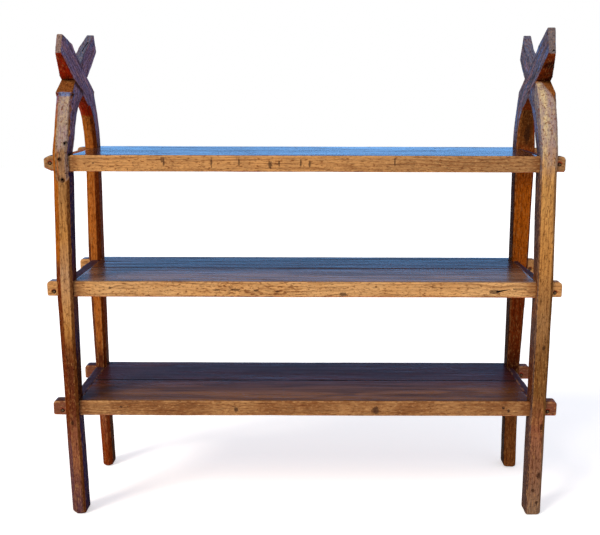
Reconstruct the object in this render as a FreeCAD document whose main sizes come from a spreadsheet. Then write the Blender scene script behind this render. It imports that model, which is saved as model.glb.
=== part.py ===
import FreeCAD, Part
import os
import re

import Sketcher

# Driving dimensions in millimetres. X runs along the shelves, Y from the front
# to the back and Z up. The origin is on the floor under the middle of the rack.
SIZES = {
    # whole rack
    "rack_depth": 440.0,
    "half_span": 704.0,
    "bottom_shelf_top": 381.0,
    "shelf_spacing": 386.0,
    # planks and their through tenons
    "shelf_thickness": 50.0,
    "plank_setback": 15.0,
    "seam_gap": 0.6,
    "tenon_back_cover": 10.0,
    "tenon_face_inset": 1.0,
    "tenon_shoulder": 1.5,
    "tenon_root": 12.0,
    "top_tenon_projection": 27.0,
    "middle_tenon_projection": 31.0,
    "bottom_tenon_projection": 38.0,
    "tenon_top_round": 11.0,
    "tenon_bottom_round": 5.0,
    "tenon_point_length": 19.0,
    "tenon_point_drop": 9.5,
    # how far each seat on the end frames stands out from the top front one
    "middle_front_bow": 8.0,
    "bottom_front_bow": 8.0,
    "top_rear_toe": 5.0,
    "middle_rear_toe": 8.0,
    "bottom_rear_toe": 8.0,
    "seat_margin": 6.0,
    # how far each foot turns in from the seat above it
    "front_left_foot_toe": 6.5,
    "front_right_foot_toe": 1.0,
    "rear_left_foot_toe": 8.0,
    "rear_right_foot_toe": -4.0,
    # leg timbers
    "leg_depth": 66.0,
    "front_left_foot_width": 47.5,
    "front_left_bottom_width": 46.5,
    "front_left_middle_width": 52.5,
    "front_left_top_width": 51.5,
    "front_right_foot_width": 49.5,
    "front_right_bottom_width": 48.5,
    "front_right_middle_width": 51.0,
    "front_right_top_width": 51.5,
    "rear_left_foot_width": 37.0,
    "rear_left_bottom_width": 39.5,
    "rear_left_middle_width": 45.5,
    "rear_left_top_width": 42.0,
    "rear_right_foot_width": 44.0,
    "rear_right_bottom_width": 45.0,
    "rear_right_middle_width": 57.5,
    "rear_right_top_width": 65.0,
    # heads of the legs, which lean in, bend and cross
    "lean_above_shelf": 62.0,
    "front_bulge": 6.0,
    "front_throat_bulge": 8.5,
    "throat_gain": 22.0,
    "shoulder_setback": 55.0,
    "crossing_above_shelf": 268.0,
    "arm_run": 110.0,
    "arm_rise": 58.0,
    "front_arm_depth": 80.0,
    "rear_arm_depth": 94.0,
    "lean_radius": 270.0,
    "arch_radius": 150.0,
    "left_shoulder_radius": 12.0,
    "right_shoulder_radius": 55.0,
    "crossing_inset": 5.0,
    "left_crossing_thickness": 40.0,
    "right_crossing_thickness": 45.0,
    "notch_drop": 36.0,
    # the arms thin out from the crossing to their heels and tips
    "front_heel_inset": 10.0,
    "front_left_heel_thickness": 28.0,
    "front_right_heel_thickness": 28.0,
    "front_tip_inset": 13.0,
    "front_left_tip_thickness": 25.0,
    "front_right_tip_thickness": 25.0,
    "rear_heel_inset": 3.0,
    "rear_left_heel_thickness": 18.0,
    "rear_right_heel_thickness": 22.0,
    "rear_tip_inset": -3.5,
    "rear_left_tip_thickness": 18.0,
    "rear_right_tip_thickness": 24.0,
    # the cut ends of the arms
    "front_left_tip_overhang": 12.0,
    "front_left_tip_lean": 12.0,
    "front_left_tip_rise": 102.0,
    "front_left_tip_height": 57.0,
    "front_right_tip_overhang": -33.0,
    "front_right_tip_lean": 30.0,
    "front_right_tip_rise": 102.0,
    "front_right_tip_height": 80.0,
    "rear_left_tip_overhang": 6.0,
    "rear_left_tip_lean": 6.0,
    "rear_left_tip_rise": 82.0,
    "rear_left_tip_height": 54.0,
    "rear_right_tip_overhang": 12.0,
    "rear_right_tip_lean": 4.0,
    "rear_right_tip_rise": 104.0,
    "rear_right_tip_height": 74.0,
    # end rails between the front and rear legs
    "rail_drop": 1.5,
    "rail_height": 45.0,
    "left_rail_front_width": 36.0,
    "left_rail_rear_width": 36.0,
    "right_rail_front_width": 33.0,
    "right_rail_rear_width": 22.0,
    "stub_inset": 5.0,
    "stub_thickness": 14.0,
    "stub_gap": 1.5,
    "stub_shoulder": 10.0,
    # pegs
    "peg_diameter": 11.6,
    "peg_clearance": 0.2,
    "peg_offset": 9.0,
    "top_peg_drop": 25.0,
    "lower_peg_drop": 34.0,
    "peg_recess": 1.2,
    "crossing_peg_bite": 12.0,
    "crossing_peg_drop": 44.0,
    # fits, and how near an edge has to be to the place it is looked for at
    "joint_clearance": 0.15,
    "overrun": 20.0,
    "edge_search": 0.05,
}

# An edge runs along an axis when at least this share of its length does.
ALONG_SHARE = 0.9

LEVELS = ("bottom", "middle", "top")
ENDS = ("left", "right")
ROWS = ("front", "rear")

# An end or a row only turns a coordinate round.
END_SIGN = {"left": -1, "right": 1}
ROW_SIGN = {"front": 1, "rear": -1}
OTHER_ROW = {"front": "rear", "rear": "front"}

SHELF_TOP = {
    "bottom": "bottom_shelf_top",
    "middle": "(bottom_shelf_top + shelf_spacing)",
    "top": "(bottom_shelf_top + 2 * shelf_spacing)",
}
SEAT = {
    ("bottom", "front"): "(half_span + bottom_front_bow)",
    ("middle", "front"): "(half_span + middle_front_bow)",
    ("top", "front"): "half_span",
    ("bottom", "rear"): "(half_span + bottom_rear_toe)",
    ("middle", "rear"): "(half_span + middle_rear_toe)",
    ("top", "rear"): "(half_span + top_rear_toe)",
}
CROSSING_TOP = f"({SHELF_TOP['top']} + crossing_above_shelf)"
CROSSING_INNER = "(half_span + crossing_inset)"
LEG_BACK = "(rack_depth / 2 - leg_depth)"
TENON_WIDTH = "(leg_depth - plank_setback - tenon_face_inset - tenon_back_cover)"
STUB_LENGTH = "(tenon_back_cover - stub_gap)"
ARM_SLOPE = "(arm_rise / arm_run)"

doc = FreeCAD.newDocument("wooden_rack")
sheet = doc.addObject("Spreadsheet::Sheet", "Sizes")
for row_number, (alias, value) in enumerate(SIZES.items(), start=1):
    sheet.set(f"A{row_number}", alias.replace("_", " "))
    sheet.set(f"B{row_number}", str(value))
    sheet.setAlias(f"B{row_number}", alias)
doc.recompute()


def cells(text):
    """Turn the size names in an expression into references to the sheet."""
    def reference(match):
        word = match.group(0)
        return f"Sizes.{word}" if word in SIZES else word
    return re.sub(r"[a-z][a-z_]*", reference, text)


def number(text):
    """Value of an expression in sizes, for finding edges and checking cuts."""
    result = sheet.evalExpression(cells(text))
    return float(getattr(result, "Value", result))


def origin_plane(body, role):
    return next(item for item in body.Origin.OriginFeatures if item.Role == role)


def sketch_on(body, label, role, offset="0"):
    """An empty sketch on one of the body's own planes, moved along its normal."""
    sketch = body.newObject("Sketcher::SketchObject", label)
    sketch.AttachmentSupport = [(origin_plane(body, role), "")]
    sketch.MapMode = "FlatFace"
    if offset != "0":
        sketch.setExpression("AttachmentOffset.Base.z", cells(offset))
    return sketch


def bind(sketch, constraint, text):
    index = sketch.addConstraint(constraint)
    sketch.setExpression(f"Constraints[{index}]", cells(text))


def place_point(sketch, line, point):
    """Hold the start of a line at a point given as two expressions."""
    across, up = point
    if across == "0":
        sketch.addConstraint(Sketcher.Constraint("PointOnObject", line, 1, -2))
    else:
        bind(sketch, Sketcher.Constraint("DistanceX", -1, 1, line, 1, number(across)), across)
    if up == "0":
        sketch.addConstraint(Sketcher.Constraint("PointOnObject", line, 1, -1))
    else:
        bind(sketch, Sketcher.Constraint("DistanceY", -1, 1, line, 1, number(up)), up)


def add_loop(sketch, points):
    """A closed outline of straight lines through the points."""
    first = sketch.GeometryCount
    corners = [FreeCAD.Vector(number(across), number(up), 0) for across, up in points]
    count = len(points)
    for index in range(count):
        end = corners[(index + 1) % count]
        sketch.addGeometry(Part.LineSegment(corners[index], end))
    for index in range(count):
        following = first + (index + 1) % count
        sketch.addConstraint(Sketcher.Constraint("Coincident", first + index, 2, following, 1))
    for index, point in enumerate(points):
        place_point(sketch, first + index, point)


def add_circle(sketch, across, up, diameter):
    centre = FreeCAD.Vector(number(across), number(up), 0)
    normal = FreeCAD.Vector(0, 0, 1)
    index = sketch.addGeometry(Part.Circle(centre, normal, number(diameter) / 2))
    if across == "0":
        sketch.addConstraint(Sketcher.Constraint("PointOnObject", index, 3, -2))
    else:
        bind(sketch, Sketcher.Constraint("DistanceX", -1, 1, index, 3, number(across)), across)
    bind(sketch, Sketcher.Constraint("DistanceY", -1, 1, index, 3, number(up)), up)
    bind(sketch, Sketcher.Constraint("Diameter", index, number(diameter)), diameter)


def pad(body, label, sketch, length, backwards=False):
    feature = body.newObject("PartDesign::Pad", label)
    feature.Profile = sketch
    feature.Reversed = backwards
    feature.setExpression("Length", cells(length))
    doc.recompute()
    return feature


def pocket(body, label, sketch, length=None, backwards=False):
    """Cut a sketch out of the body, all through unless a length is given."""
    before = body.Shape.Volume
    feature = body.newObject("PartDesign::Pocket", label)
    feature.Profile = sketch
    feature.Reversed = backwards
    if length is None:
        feature.Type = "ThroughAll"
    else:
        feature.setExpression("Length", cells(length))
    doc.recompute()
    if body.Shape.Volume >= before:
        raise RuntimeError(f"{label} removed nothing")
    return feature


def edges_along(shape, axis, place):
    """Names of the straight edges along an axis that pass through a place."""
    others = [index for index in range(3) if index != axis]
    reach = number("edge_search")
    found = []
    for edge_number, edge in enumerate(shape.Edges, start=1):
        ends = [vertex.Point for vertex in edge.Vertexes]
        if len(ends) != 2 or abs(ends[0][axis] - ends[1][axis]) < edge.Length * ALONG_SHARE:
            continue
        misses = [abs(end[other] - place[n]) for end in ends for n, other in enumerate(others)]
        if max(misses) < reach:
            found.append(f"Edge{edge_number}")
    return found


def fillet(body, label, edges, radius):
    if not edges:
        raise RuntimeError(f"{label} found no edge")
    base = body.Tip
    feature = body.newObject("PartDesign::Fillet", label)
    feature.Base = (base, edges)
    feature.setExpression("Radius", cells(radius))
    doc.recompute()
    if "Invalid" in feature.State:
        raise RuntimeError(f"{label} can't be made")
    return feature


def new_body(label):
    body = doc.addObject("PartDesign::Body", label)
    body.Label = label
    return body


def leg_outer(row, end, level):
    """Distance from the middle of the rack to the outer face of a leg."""
    return f"({SEAT[level, row]} + {row}_{end}_{level}_width)"


def tenon_range():
    """Start and end of a front tenon across the rack, measured from the middle."""
    start = "(plank_setback + tenon_face_inset - rack_depth / 2)"
    return start, f"({start} + {TENON_WIDTH})"


def leg_stations(row, end):
    """Heights up a leg with its inner and outer distance from the middle."""
    foot = f"({SEAT['bottom', row]} - {row}_{end}_foot_toe)"
    stations = [("-overrun", foot, f"({foot} + {row}_{end}_foot_width)")]
    stations.append(("0", *stations[0][1:]))
    for level in LEVELS:
        faces = (SEAT[level, row], leg_outer(row, end, level))
        stations.append((f"({SHELF_TOP[level]} - shelf_thickness - seat_margin)", *faces))
        stations.append((f"({SHELF_TOP[level]} + seat_margin)", *faces))
    crossing = (CROSSING_INNER, f"({CROSSING_INNER} + {end}_crossing_thickness)")
    if row == "front":
        lean_start = f"({SHELF_TOP['top']} + lean_above_shelf)"
        stations.append((lean_start, f"({SEAT['top', row]} - front_bulge)", crossing[1]))
    throat_inner = "(half_span - front_throat_bulge)" if row == "front" else CROSSING_INNER
    stations.append((f"({CROSSING_TOP} - max(front_arm_depth; rear_arm_depth))", throat_inner, crossing[1]))
    stations.append((f"({CROSSING_TOP} - notch_drop)", *crossing))
    tip_top = f"({CROSSING_TOP} + {row}_{end}_tip_rise)"
    for place, height in (("heel", f"({tip_top} - {row}_{end}_tip_height)"), ("tip", tip_top)):
        inner = f"(half_span + {row}_{place}_inset)"
        stations.append((height, inner, f"({inner} + {row}_{end}_{place}_thickness)"))
    stations.append((f"({tip_top} + overrun)", *stations[-1][1:]))
    return stations


def leg_side_outline(row, end):
    """Side view of a timber: the leg, its throat, the raised arm and the leaning shoulder."""
    name = f"{row}_{end}"
    reach = f"(rack_depth / 2 + {name}_tip_overhang)"
    tip_top = f"({CROSSING_TOP} + {name}_tip_rise)"
    arm_bottom = f"({CROSSING_TOP} - {row}_arm_depth)"
    shoulder = "(shoulder_setback - rack_depth / 2)"
    throat = f"({LEG_BACK} - throat_gain)"
    return [
        ("-rack_depth / 2", "0"),
        (f"-{LEG_BACK}", "0"),
        (f"-{LEG_BACK}", f"{SHELF_TOP['top']} + seat_margin"),
        (f"-{throat}", f"{arm_bottom} - {ARM_SLOPE} * {throat}"),
        ("arm_run", f"{arm_bottom} + arm_rise"),
        (reach, f"{tip_top} - {name}_tip_height"),
        (f"{reach} - {name}_tip_lean", tip_top),
        ("arm_run", f"{CROSSING_TOP} + arm_rise"),
        (shoulder, f"{CROSSING_TOP} + {ARM_SLOPE} * {shoulder}"),
        ("-rack_depth / 2", f"{SHELF_TOP['top']} + lean_above_shelf"),
    ]


def turned(points, sign):
    """The same points with the first coordinate turned round."""
    if sign > 0:
        return points
    return [(across if across == "0" else f"-({across})", up) for across, up in points]


def make_leg(row, end):
    name = f"{row}_{end}"
    facing = ROW_SIGN[row]
    side = END_SIGN[end]
    body = new_body(f"{name}_leg")
    stations = leg_stations(row, end)
    inner_bound = f"(min({'; '.join(station[1] for station in stations)}) - overrun)"
    outer_bound = f"(max({'; '.join(station[2] for station in stations)}) + overrun)"

    outline = leg_side_outline(row, end)
    profile = sketch_on(body, f"{name}_side_view", "YZ_Plane", f"{side} * {inner_bound}")
    add_loop(profile, turned(outline, facing))
    pad(body, f"{name}_timber", profile, f"{outer_bound} - {inner_bound}", side < 0)

    bends = {
        "arch": (outline[3], "arch_radius"),
        "shoulder": (outline[8], f"{end}_shoulder_radius"),
        "lean": (outline[9], "lean_radius"),
    }
    for bend, (point, radius) in bends.items():
        place = (facing * number(point[0]), number(point[1]))
        edges = edges_along(body.Shape, 0, place)
        fillet(body, f"{name}_{bend}_bend", edges, radius)

    waste = sketch_on(body, f"{name}_front_view", "XZ_Plane", "rack_depth")
    inner_edge = [(station[1], station[0]) for station in stations]
    outer_edge = [(station[2], station[0]) for station in stations]
    for edge_line, bound in ((inner_edge, inner_bound), (outer_edge, outer_bound)):
        margin = "-overrun" if bound == inner_bound else "+overrun"
        low = (f"({bound} {margin})", edge_line[0][1])
        high = (f"({bound} {margin})", edge_line[-1][1])
        add_loop(waste, turned([low, *edge_line, high], side))
    pocket(body, f"{name}_taper", waste)

    cut_mortises(body, row, end)
    cut_lap(body, row, end)
    return body


def cut_mortises(body, row, end):
    """Through mortises for the plank tenons and blind ones for the end rails."""
    name = f"{row}_{end}"
    facing = ROW_SIGN[row]
    side = END_SIGN[end]
    start, stop = tenon_range()
    through = sketch_on(body, f"{name}_tenon_holes", "YZ_Plane")
    blind_plane = f"{facing} * {LEG_BACK}"
    blind = sketch_on(body, f"{name}_rail_holes", "XZ_Plane", blind_plane)
    for level in LEVELS:
        low = f"({SHELF_TOP[level]} - shelf_thickness + tenon_shoulder - joint_clearance)"
        high = f"({SHELF_TOP[level]} - tenon_shoulder + joint_clearance)"
        points = [(f"({start} - joint_clearance)", low), (f"({stop} + joint_clearance)", low)]
        points += [(points[1][0], high), (points[0][0], high)]
        add_loop(through, turned(points, facing))
        stub_near = f"({SEAT[level, row]} + stub_inset - joint_clearance)"
        stub_far = f"({SEAT[level, row]} + stub_inset + stub_thickness + joint_clearance)"
        stub_high = f"({SHELF_TOP[level]} - rail_drop - stub_shoulder + joint_clearance)"
        stub_low = f"({SHELF_TOP[level]} - rail_drop - rail_height + stub_shoulder - joint_clearance)"
        corners = [(stub_near, stub_low), (stub_far, stub_low)]
        corners += [(stub_far, stub_high), (stub_near, stub_high)]
        add_loop(blind, turned(corners, side))
    pocket(body, f"{name}_tenon_mortises", through, backwards=side > 0)
    stub_depth = f"{STUB_LENGTH} + joint_clearance"
    pocket(body, f"{name}_rail_mortises", blind, stub_depth, backwards=facing > 0)


def cut_lap(body, row, end):
    """Half-lap at the crossing, cut to the outline of the other arm, with its peg hole."""
    name = f"{row}_{end}"
    facing = ROW_SIGN[row]
    side = END_SIGN[end]
    other_depth = f"{OTHER_ROW[row]}_arm_depth"
    lap_plane = f"({CROSSING_INNER} + {end}_crossing_thickness / 2)"
    shift = "+" if row == "front" else "-"
    offset = f"{side} * ({lap_plane} {shift} joint_clearance / 2)"
    lap = sketch_on(body, f"{name}_lap_outline", "YZ_Plane", offset)
    top = f"{CROSSING_TOP} + joint_clearance"
    bottom = f"{CROSSING_TOP} - {other_depth} - joint_clearance"
    other_arm = [
        ("-arm_run", f"{bottom} + arm_rise"),
        ("arm_run", f"{bottom} - arm_rise"),
        ("arm_run", f"{top} - arm_rise"),
        ("-arm_run", f"{top} + arm_rise"),
    ]
    add_loop(lap, turned(other_arm, facing))
    towards_middle = row == "front"
    pocket(body, f"{name}_half_lap", lap, backwards=(side < 0) == towards_middle)

    hole = sketch_on(body, f"{name}_crossing_peg_outline", "YZ_Plane", offset)
    hole_diameter = "(peg_diameter + 2 * peg_clearance)"
    add_circle(hole, "0", f"{CROSSING_TOP} - crossing_peg_drop", hole_diameter)
    if row == "front":
        pocket(body, f"{name}_crossing_peg_hole", hole, backwards=side > 0)
    else:
        pocket(body, f"{name}_crossing_peg_hole", hole, "crossing_peg_bite", backwards=side < 0)


def tenon_outline(row, end, level):
    """Front view of a through tenon, pointed on the top left front one."""
    low = f"({SHELF_TOP[level]} - shelf_thickness + tenon_shoulder)"
    high = f"({SHELF_TOP[level]} - tenon_shoulder)"
    root = f"({SEAT[level, row]} - tenon_root)"
    tip = f"({leg_outer(row, end, level)} + {level}_tenon_projection)"
    if (row, end, level) != ("front", "left", "top"):
        return [(root, low), (tip, low), (tip, high), (root, high)]
    neck = f"({tip} - tenon_point_length)"
    return [
        (root, low),
        (neck, low),
        (tip, f"({low} + tenon_point_drop)"),
        (tip, f"({high} - tenon_point_drop)"),
        (neck, high),
        (root, high),
    ]


def make_plank(row, level):
    """Half of a shelf: the board, a through tenon at each end and their peg holes."""
    name = f"{level}_shelf_{row}_plank"
    facing = ROW_SIGN[row]
    body = new_body(name)
    seat = SEAT[level, row]
    middle_seat = f"(({SEAT[level, 'front']} + {SEAT[level, 'rear']}) / 2)"
    outside = "(plank_setback - rack_depth / 2)"
    inside = "(-seam_gap / 2)"
    board_outline = [
        (f"-{seat}", outside),
        (seat, outside),
        (seat, f"-{LEG_BACK}"),
        (middle_seat, inside),
        (f"-{middle_seat}", inside),
        (f"-{seat}", f"-{LEG_BACK}"),
    ]
    if facing < 0:
        board_outline = [(across, f"-({along})") for across, along in board_outline]
    board = sketch_on(body, f"{name}_plan", "XY_Plane", f"{SHELF_TOP[level]} - shelf_thickness")
    add_loop(board, board_outline)
    pad(body, f"{name}_board", board, "shelf_thickness")

    start, stop = tenon_range()
    front_edge = f"-({start})" if facing > 0 else stop
    for end in ENDS:
        side = END_SIGN[end]
        outline = tenon_outline(row, end, level)
        tenon = sketch_on(body, f"{name}_{end}_tenon_view", "XZ_Plane", front_edge)
        add_loop(tenon, turned(outline, side))
        pad(body, f"{name}_{end}_tenon", tenon, TENON_WIDTH, backwards=True)
        if len(outline) == 4:
            tip = side * number(outline[1][0])
            for corner, radius in ((2, "tenon_top_round"), (1, "tenon_bottom_round")):
                place = (tip, number(outline[corner][1]))
                edges = edges_along(body.Shape, 1, place)
                fillet(body, f"{name}_{end}_round_{corner}", edges, radius)

    holes = sketch_on(body, f"{name}_peg_outlines", "XZ_Plane", "rack_depth")
    for end in ENDS:
        across, up = peg_centre(row, end, level)
        add_circle(holes, f"{END_SIGN[end]} * {across}", up, "(peg_diameter + 2 * peg_clearance)")
    pocket(body, f"{name}_peg_holes", holes)
    return body


def peg_centre(row, end, level):
    drop = "top_peg_drop" if level == "top" else "lower_peg_drop"
    return f"({leg_outer(row, end, level)} + peg_offset)", f"({SHELF_TOP[level]} - {drop})"


def make_peg(row, end, level):
    """A round peg through a tenon, outside the leg, running from front to back."""
    name = f"{level}_{row}_{end}_tenon_peg"
    peg = doc.addObject("Part::Cylinder", name)
    peg.Label = name
    across, up = peg_centre(row, end, level)
    start, stop = tenon_range()
    near = start if row == "front" else f"(-{stop})"
    peg.setExpression("Radius", cells("peg_diameter / 2"))
    peg.setExpression("Height", cells(f"{TENON_WIDTH} - 2 * peg_recess"))
    peg.Placement = FreeCAD.Placement(
        FreeCAD.Vector(), FreeCAD.Rotation(FreeCAD.Vector(1, 0, 0), -90))
    peg.setExpression("Placement.Base.x", cells(f"{END_SIGN[end]} * {across}"))
    peg.setExpression("Placement.Base.y", cells(f"{near} + peg_recess"))
    peg.setExpression("Placement.Base.z", cells(up))
    return peg


def make_crossing_peg(end):
    """A peg driven from outside through the half-lap of an end frame."""
    name = f"{end}_crossing_peg"
    peg = doc.addObject("Part::Cylinder", name)
    peg.Label = name
    side = END_SIGN[end]
    inner = f"({CROSSING_INNER} + {end}_crossing_thickness / 2 - crossing_peg_bite)"
    outer = f"({CROSSING_INNER} + {end}_crossing_thickness - peg_recess)"
    peg.setExpression("Radius", cells("peg_diameter / 2"))
    peg.setExpression("Height", cells(f"{outer} - {inner}"))
    peg.Placement = FreeCAD.Placement(
        FreeCAD.Vector(), FreeCAD.Rotation(FreeCAD.Vector(0, 1, 0), 90))
    base = inner if side > 0 else f"(-{outer})"
    peg.setExpression("Placement.Base.x", cells(base))
    peg.setExpression("Placement.Base.z", cells(f"{CROSSING_TOP} - crossing_peg_drop"))
    return peg


def make_rail(end, level):
    """The rail that closes the end of a shelf, with a stub tenon into each leg."""
    name = f"{end}_{level}_rail"
    side = END_SIGN[end]
    body = new_body(name)
    clear = "joint_clearance"
    front_inner = f"({SEAT[level, 'front']} + {clear})"
    rear_inner = f"({SEAT[level, 'rear']} + {clear})"
    front_outer = f"({SEAT[level, 'front']} + {end}_rail_front_width)"
    rear_outer = f"({SEAT[level, 'rear']} + {end}_rail_rear_width)"
    low = f"{SHELF_TOP[level]} - rail_drop - rail_height"
    bar = sketch_on(body, f"{name}_plan", "XY_Plane", low)
    add_loop(bar, turned([
        (front_inner, f"-{LEG_BACK}"),
        (front_outer, f"-{LEG_BACK}"),
        (rear_outer, LEG_BACK),
        (rear_inner, LEG_BACK),
    ], side))
    pad(body, f"{name}_bar", bar, "rail_height")
    for row in ROWS:
        sign = -ROW_SIGN[row]
        near = f"({SEAT[level, row]} + stub_inset)"
        far = f"({near} + stub_thickness)"
        root = f"{sign} * ({LEG_BACK} - {STUB_LENGTH} / 2)"
        tip = f"{sign} * ({LEG_BACK} + {STUB_LENGTH})"
        stub = sketch_on(body, f"{name}_{row}_stub_plan", "XY_Plane", f"{low} + stub_shoulder")
        add_loop(stub, turned([(near, root), (far, root), (far, tip), (near, tip)], side))
        pad(body, f"{name}_{row}_stub", stub, "rail_height - 2 * stub_shoulder")
    return body


pieces = []
for leg_row in ROWS:
    for leg_end in ENDS:
        pieces.append(make_leg(leg_row, leg_end))
for shelf_level in LEVELS:
    for plank_row in ROWS:
        pieces.append(make_plank(plank_row, shelf_level))
    for rail_end in ENDS:
        pieces.append(make_rail(rail_end, shelf_level))
        for peg_row in ROWS:
            pieces.append(make_peg(peg_row, rail_end, shelf_level))
for head_end in ENDS:
    pieces.append(make_crossing_peg(head_end))
doc.recompute()

for item in doc.Objects:
    if "Invalid" in item.State or "Error" in item.State:
        raise RuntimeError(f"{item.Label} is {item.State}")
for piece in pieces:
    if piece.Shape.isNull() or not piece.Shape.isValid() or len(piece.Shape.Solids) != 1:
        raise RuntimeError(f"{piece.Label} has no valid solid")

os.makedirs("parts", exist_ok=True)
for piece in pieces:
    piece.Shape.exportStep(f"parts/{piece.Label}.step")
    print(piece.Label, round(piece.Shape.Volume))
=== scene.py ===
import math
from functools import partial

import bmesh
import bpy
import numpy as np
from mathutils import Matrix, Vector, noise


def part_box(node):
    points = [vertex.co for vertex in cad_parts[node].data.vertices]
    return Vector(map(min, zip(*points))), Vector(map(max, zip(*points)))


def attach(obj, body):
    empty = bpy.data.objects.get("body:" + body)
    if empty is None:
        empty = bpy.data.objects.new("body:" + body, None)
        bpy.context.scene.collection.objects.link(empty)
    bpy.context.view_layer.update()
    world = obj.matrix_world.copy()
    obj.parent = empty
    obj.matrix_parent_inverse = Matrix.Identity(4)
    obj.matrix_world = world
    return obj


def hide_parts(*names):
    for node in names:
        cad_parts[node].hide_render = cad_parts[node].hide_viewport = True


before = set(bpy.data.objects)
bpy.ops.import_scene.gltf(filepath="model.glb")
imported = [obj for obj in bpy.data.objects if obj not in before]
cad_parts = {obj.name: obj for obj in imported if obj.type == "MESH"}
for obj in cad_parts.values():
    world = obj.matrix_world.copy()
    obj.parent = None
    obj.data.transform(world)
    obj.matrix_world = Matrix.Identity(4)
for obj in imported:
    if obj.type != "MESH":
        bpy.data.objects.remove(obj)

bl_info = {
    "name": "Wooden rack",
    "version": (1, 0, 0),
    "blender": (4, 5, 0),
    "location": "View3D > Sidebar > Rack",
    "description": "Open rack of old bent timbers with pegged plank shelves",
    "category": "Add Mesh",
}

ROWS = ("front", "rear")
ENDS = ("left", "right")
LEVELS = ("bottom", "middle", "top")
FACING = {"front": 1, "rear": -1}
END_SIGN = {"left": -1, "right": 1}

# How near two points are when they are welded, how flat a joint between faces is dissolved, and how
# near a place counts as reached.
WELD = 0.00001
FLAT = math.radians(0.4)
NEAR = 0.001
# The bend at which shading keeps a crease, and the bend in radians at which an edge is worn round.
CREASE = math.radians(50)
SHARP = 1.0
# The level of the clouds that stays where it is: swelling as much as wearing, or mostly wearing.
EVEN = 0.5
MOSTLY_WORN = 0.8
# Vertex weights are kept in this many steps.
WEIGHT_STEPS = 20
# How strongly a bend in the surface shows as a worn edge or a hollow, and how often it is evened out.
WEAR_GAIN = 3.0
WEAR_PASSES = 3

# Shares of a unit normal that tell the faces of a timber apart.
SIDE_SHARE = 0.85
PROFILE_SHARE = 0.35
LEVEL_SHARE = 0.95
UPRIGHT_SHARE = 0.995
LAP_SHARE = 0.2
# The share of its bore that a peg fills.
PEG_SHARE = 0.9


def paint(red, green, blue):
    """A colour given as it looks on a screen, from 0 to 255, as the linear values Blender uses."""
    def linear(level):
        share = level / 255
        return share / 12.92 if share <= 0.04045 else ((share + 0.055) / 1.055) ** 2.4
    return (linear(red), linear(green), linear(blue))


def colour(about, *levels):
    return partial(bpy.props.FloatVectorProperty, description=about, subtype="COLOR", size=3, min=0, max=1,
                   default=paint(*levels))


def amount(about, value, **choices):
    return partial(bpy.props.FloatProperty, description=about, default=value, **choices)


def length(about, metres):
    return amount(about, metres, unit="LENGTH")


def angle(about, degrees):
    return amount(about, math.radians(degrees), subtype="ANGLE")


def labelled(group):
    """Finish the settings of a group: the name that each one shows is its own name in words."""
    for setting, make in group.__annotations__.items():
        group.__annotations__[setting] = make(name=setting.replace("_", " ").capitalize())
    return group


# Settings

@labelled
class RackTimberSettings(bpy.types.PropertyGroup):
    """Shapes of the four bent timbers."""

    depth: length("Front to back size of a leg", 0.066)
    voxel: length("Smallest detail kept on a timber", 0.0025)
    front_left_facet: length("Chamfer on the front left leg", 0.0085)
    front_left_outer_facet: length("Its widest chamfer", 0.0180)
    front_right_facet: length("Chamfer on the front right leg", 0.0050)
    front_right_outer_facet: length("Its widest chamfer", 0.0085)
    rear_left_facet: length("Chamfer on the rear left leg", 0.0120)
    rear_left_outer_facet: length("Its narrowest chamfer", 0.0050)
    rear_right_facet: length("Chamfer on the rear right leg", 0.0075)
    arm_edge: length("Worn edge along the crossed arms", 0.0012)
    foot_round: length("Rounding under the feet", 0.009)
    facet_top: length("Height where the chamfers end", 1.335)
    seat_top: length("Height where the straight leg ends", 1.165)
    heave: length("Depth of the long hollows in a hewn face", 0.0022)
    heave_size: length("Width of those hollows", 0.055)
    ripple: length("Depth of the grain's ripples", 0.0008)
    ripple_size: length("Width of those ripples", 0.007)
    bare_depth: length("How deep the weathered face is worn", 0.0034)
    pit_depth: length("Depth of the pits in the weathered face", 0.0022)
    pit_size: length("Width of those pits", 0.0055)
    nail_hole: length("Radius of an old nail hole", 0.0026)


@labelled
class RackShelfSettings(bpy.types.PropertyGroup):
    """Shapes of the planks, rails and pegs."""

    plank_voxel: length("Smallest detail kept on a plank", 0.0034)
    plank_edge: length("Worn edge of a plank", 0.0022)
    plank_heave: length("Depth of the hollows in a plank", 0.0016)
    plank_heave_size: length("Width of those hollows", 0.045)
    ripple: length("Depth of the grain's ripples", 0.0006)
    ripple_size: length("Width of those ripples", 0.006)
    rail_voxel: length("Smallest detail kept on a rail", 0.0026)
    rail_edge: length("Worn edge of a rail", 0.0050)
    rail_heave: length("Depth of the hollows in a rail", 0.0040)
    rail_heave_size: length("Width of those hollows", 0.030)
    peg_dome: length("Rounding of the end of a peg", 0.0022)
    peg_facets: partial(bpy.props.IntProperty, description="Whittled sides of a peg", default=14)


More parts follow.
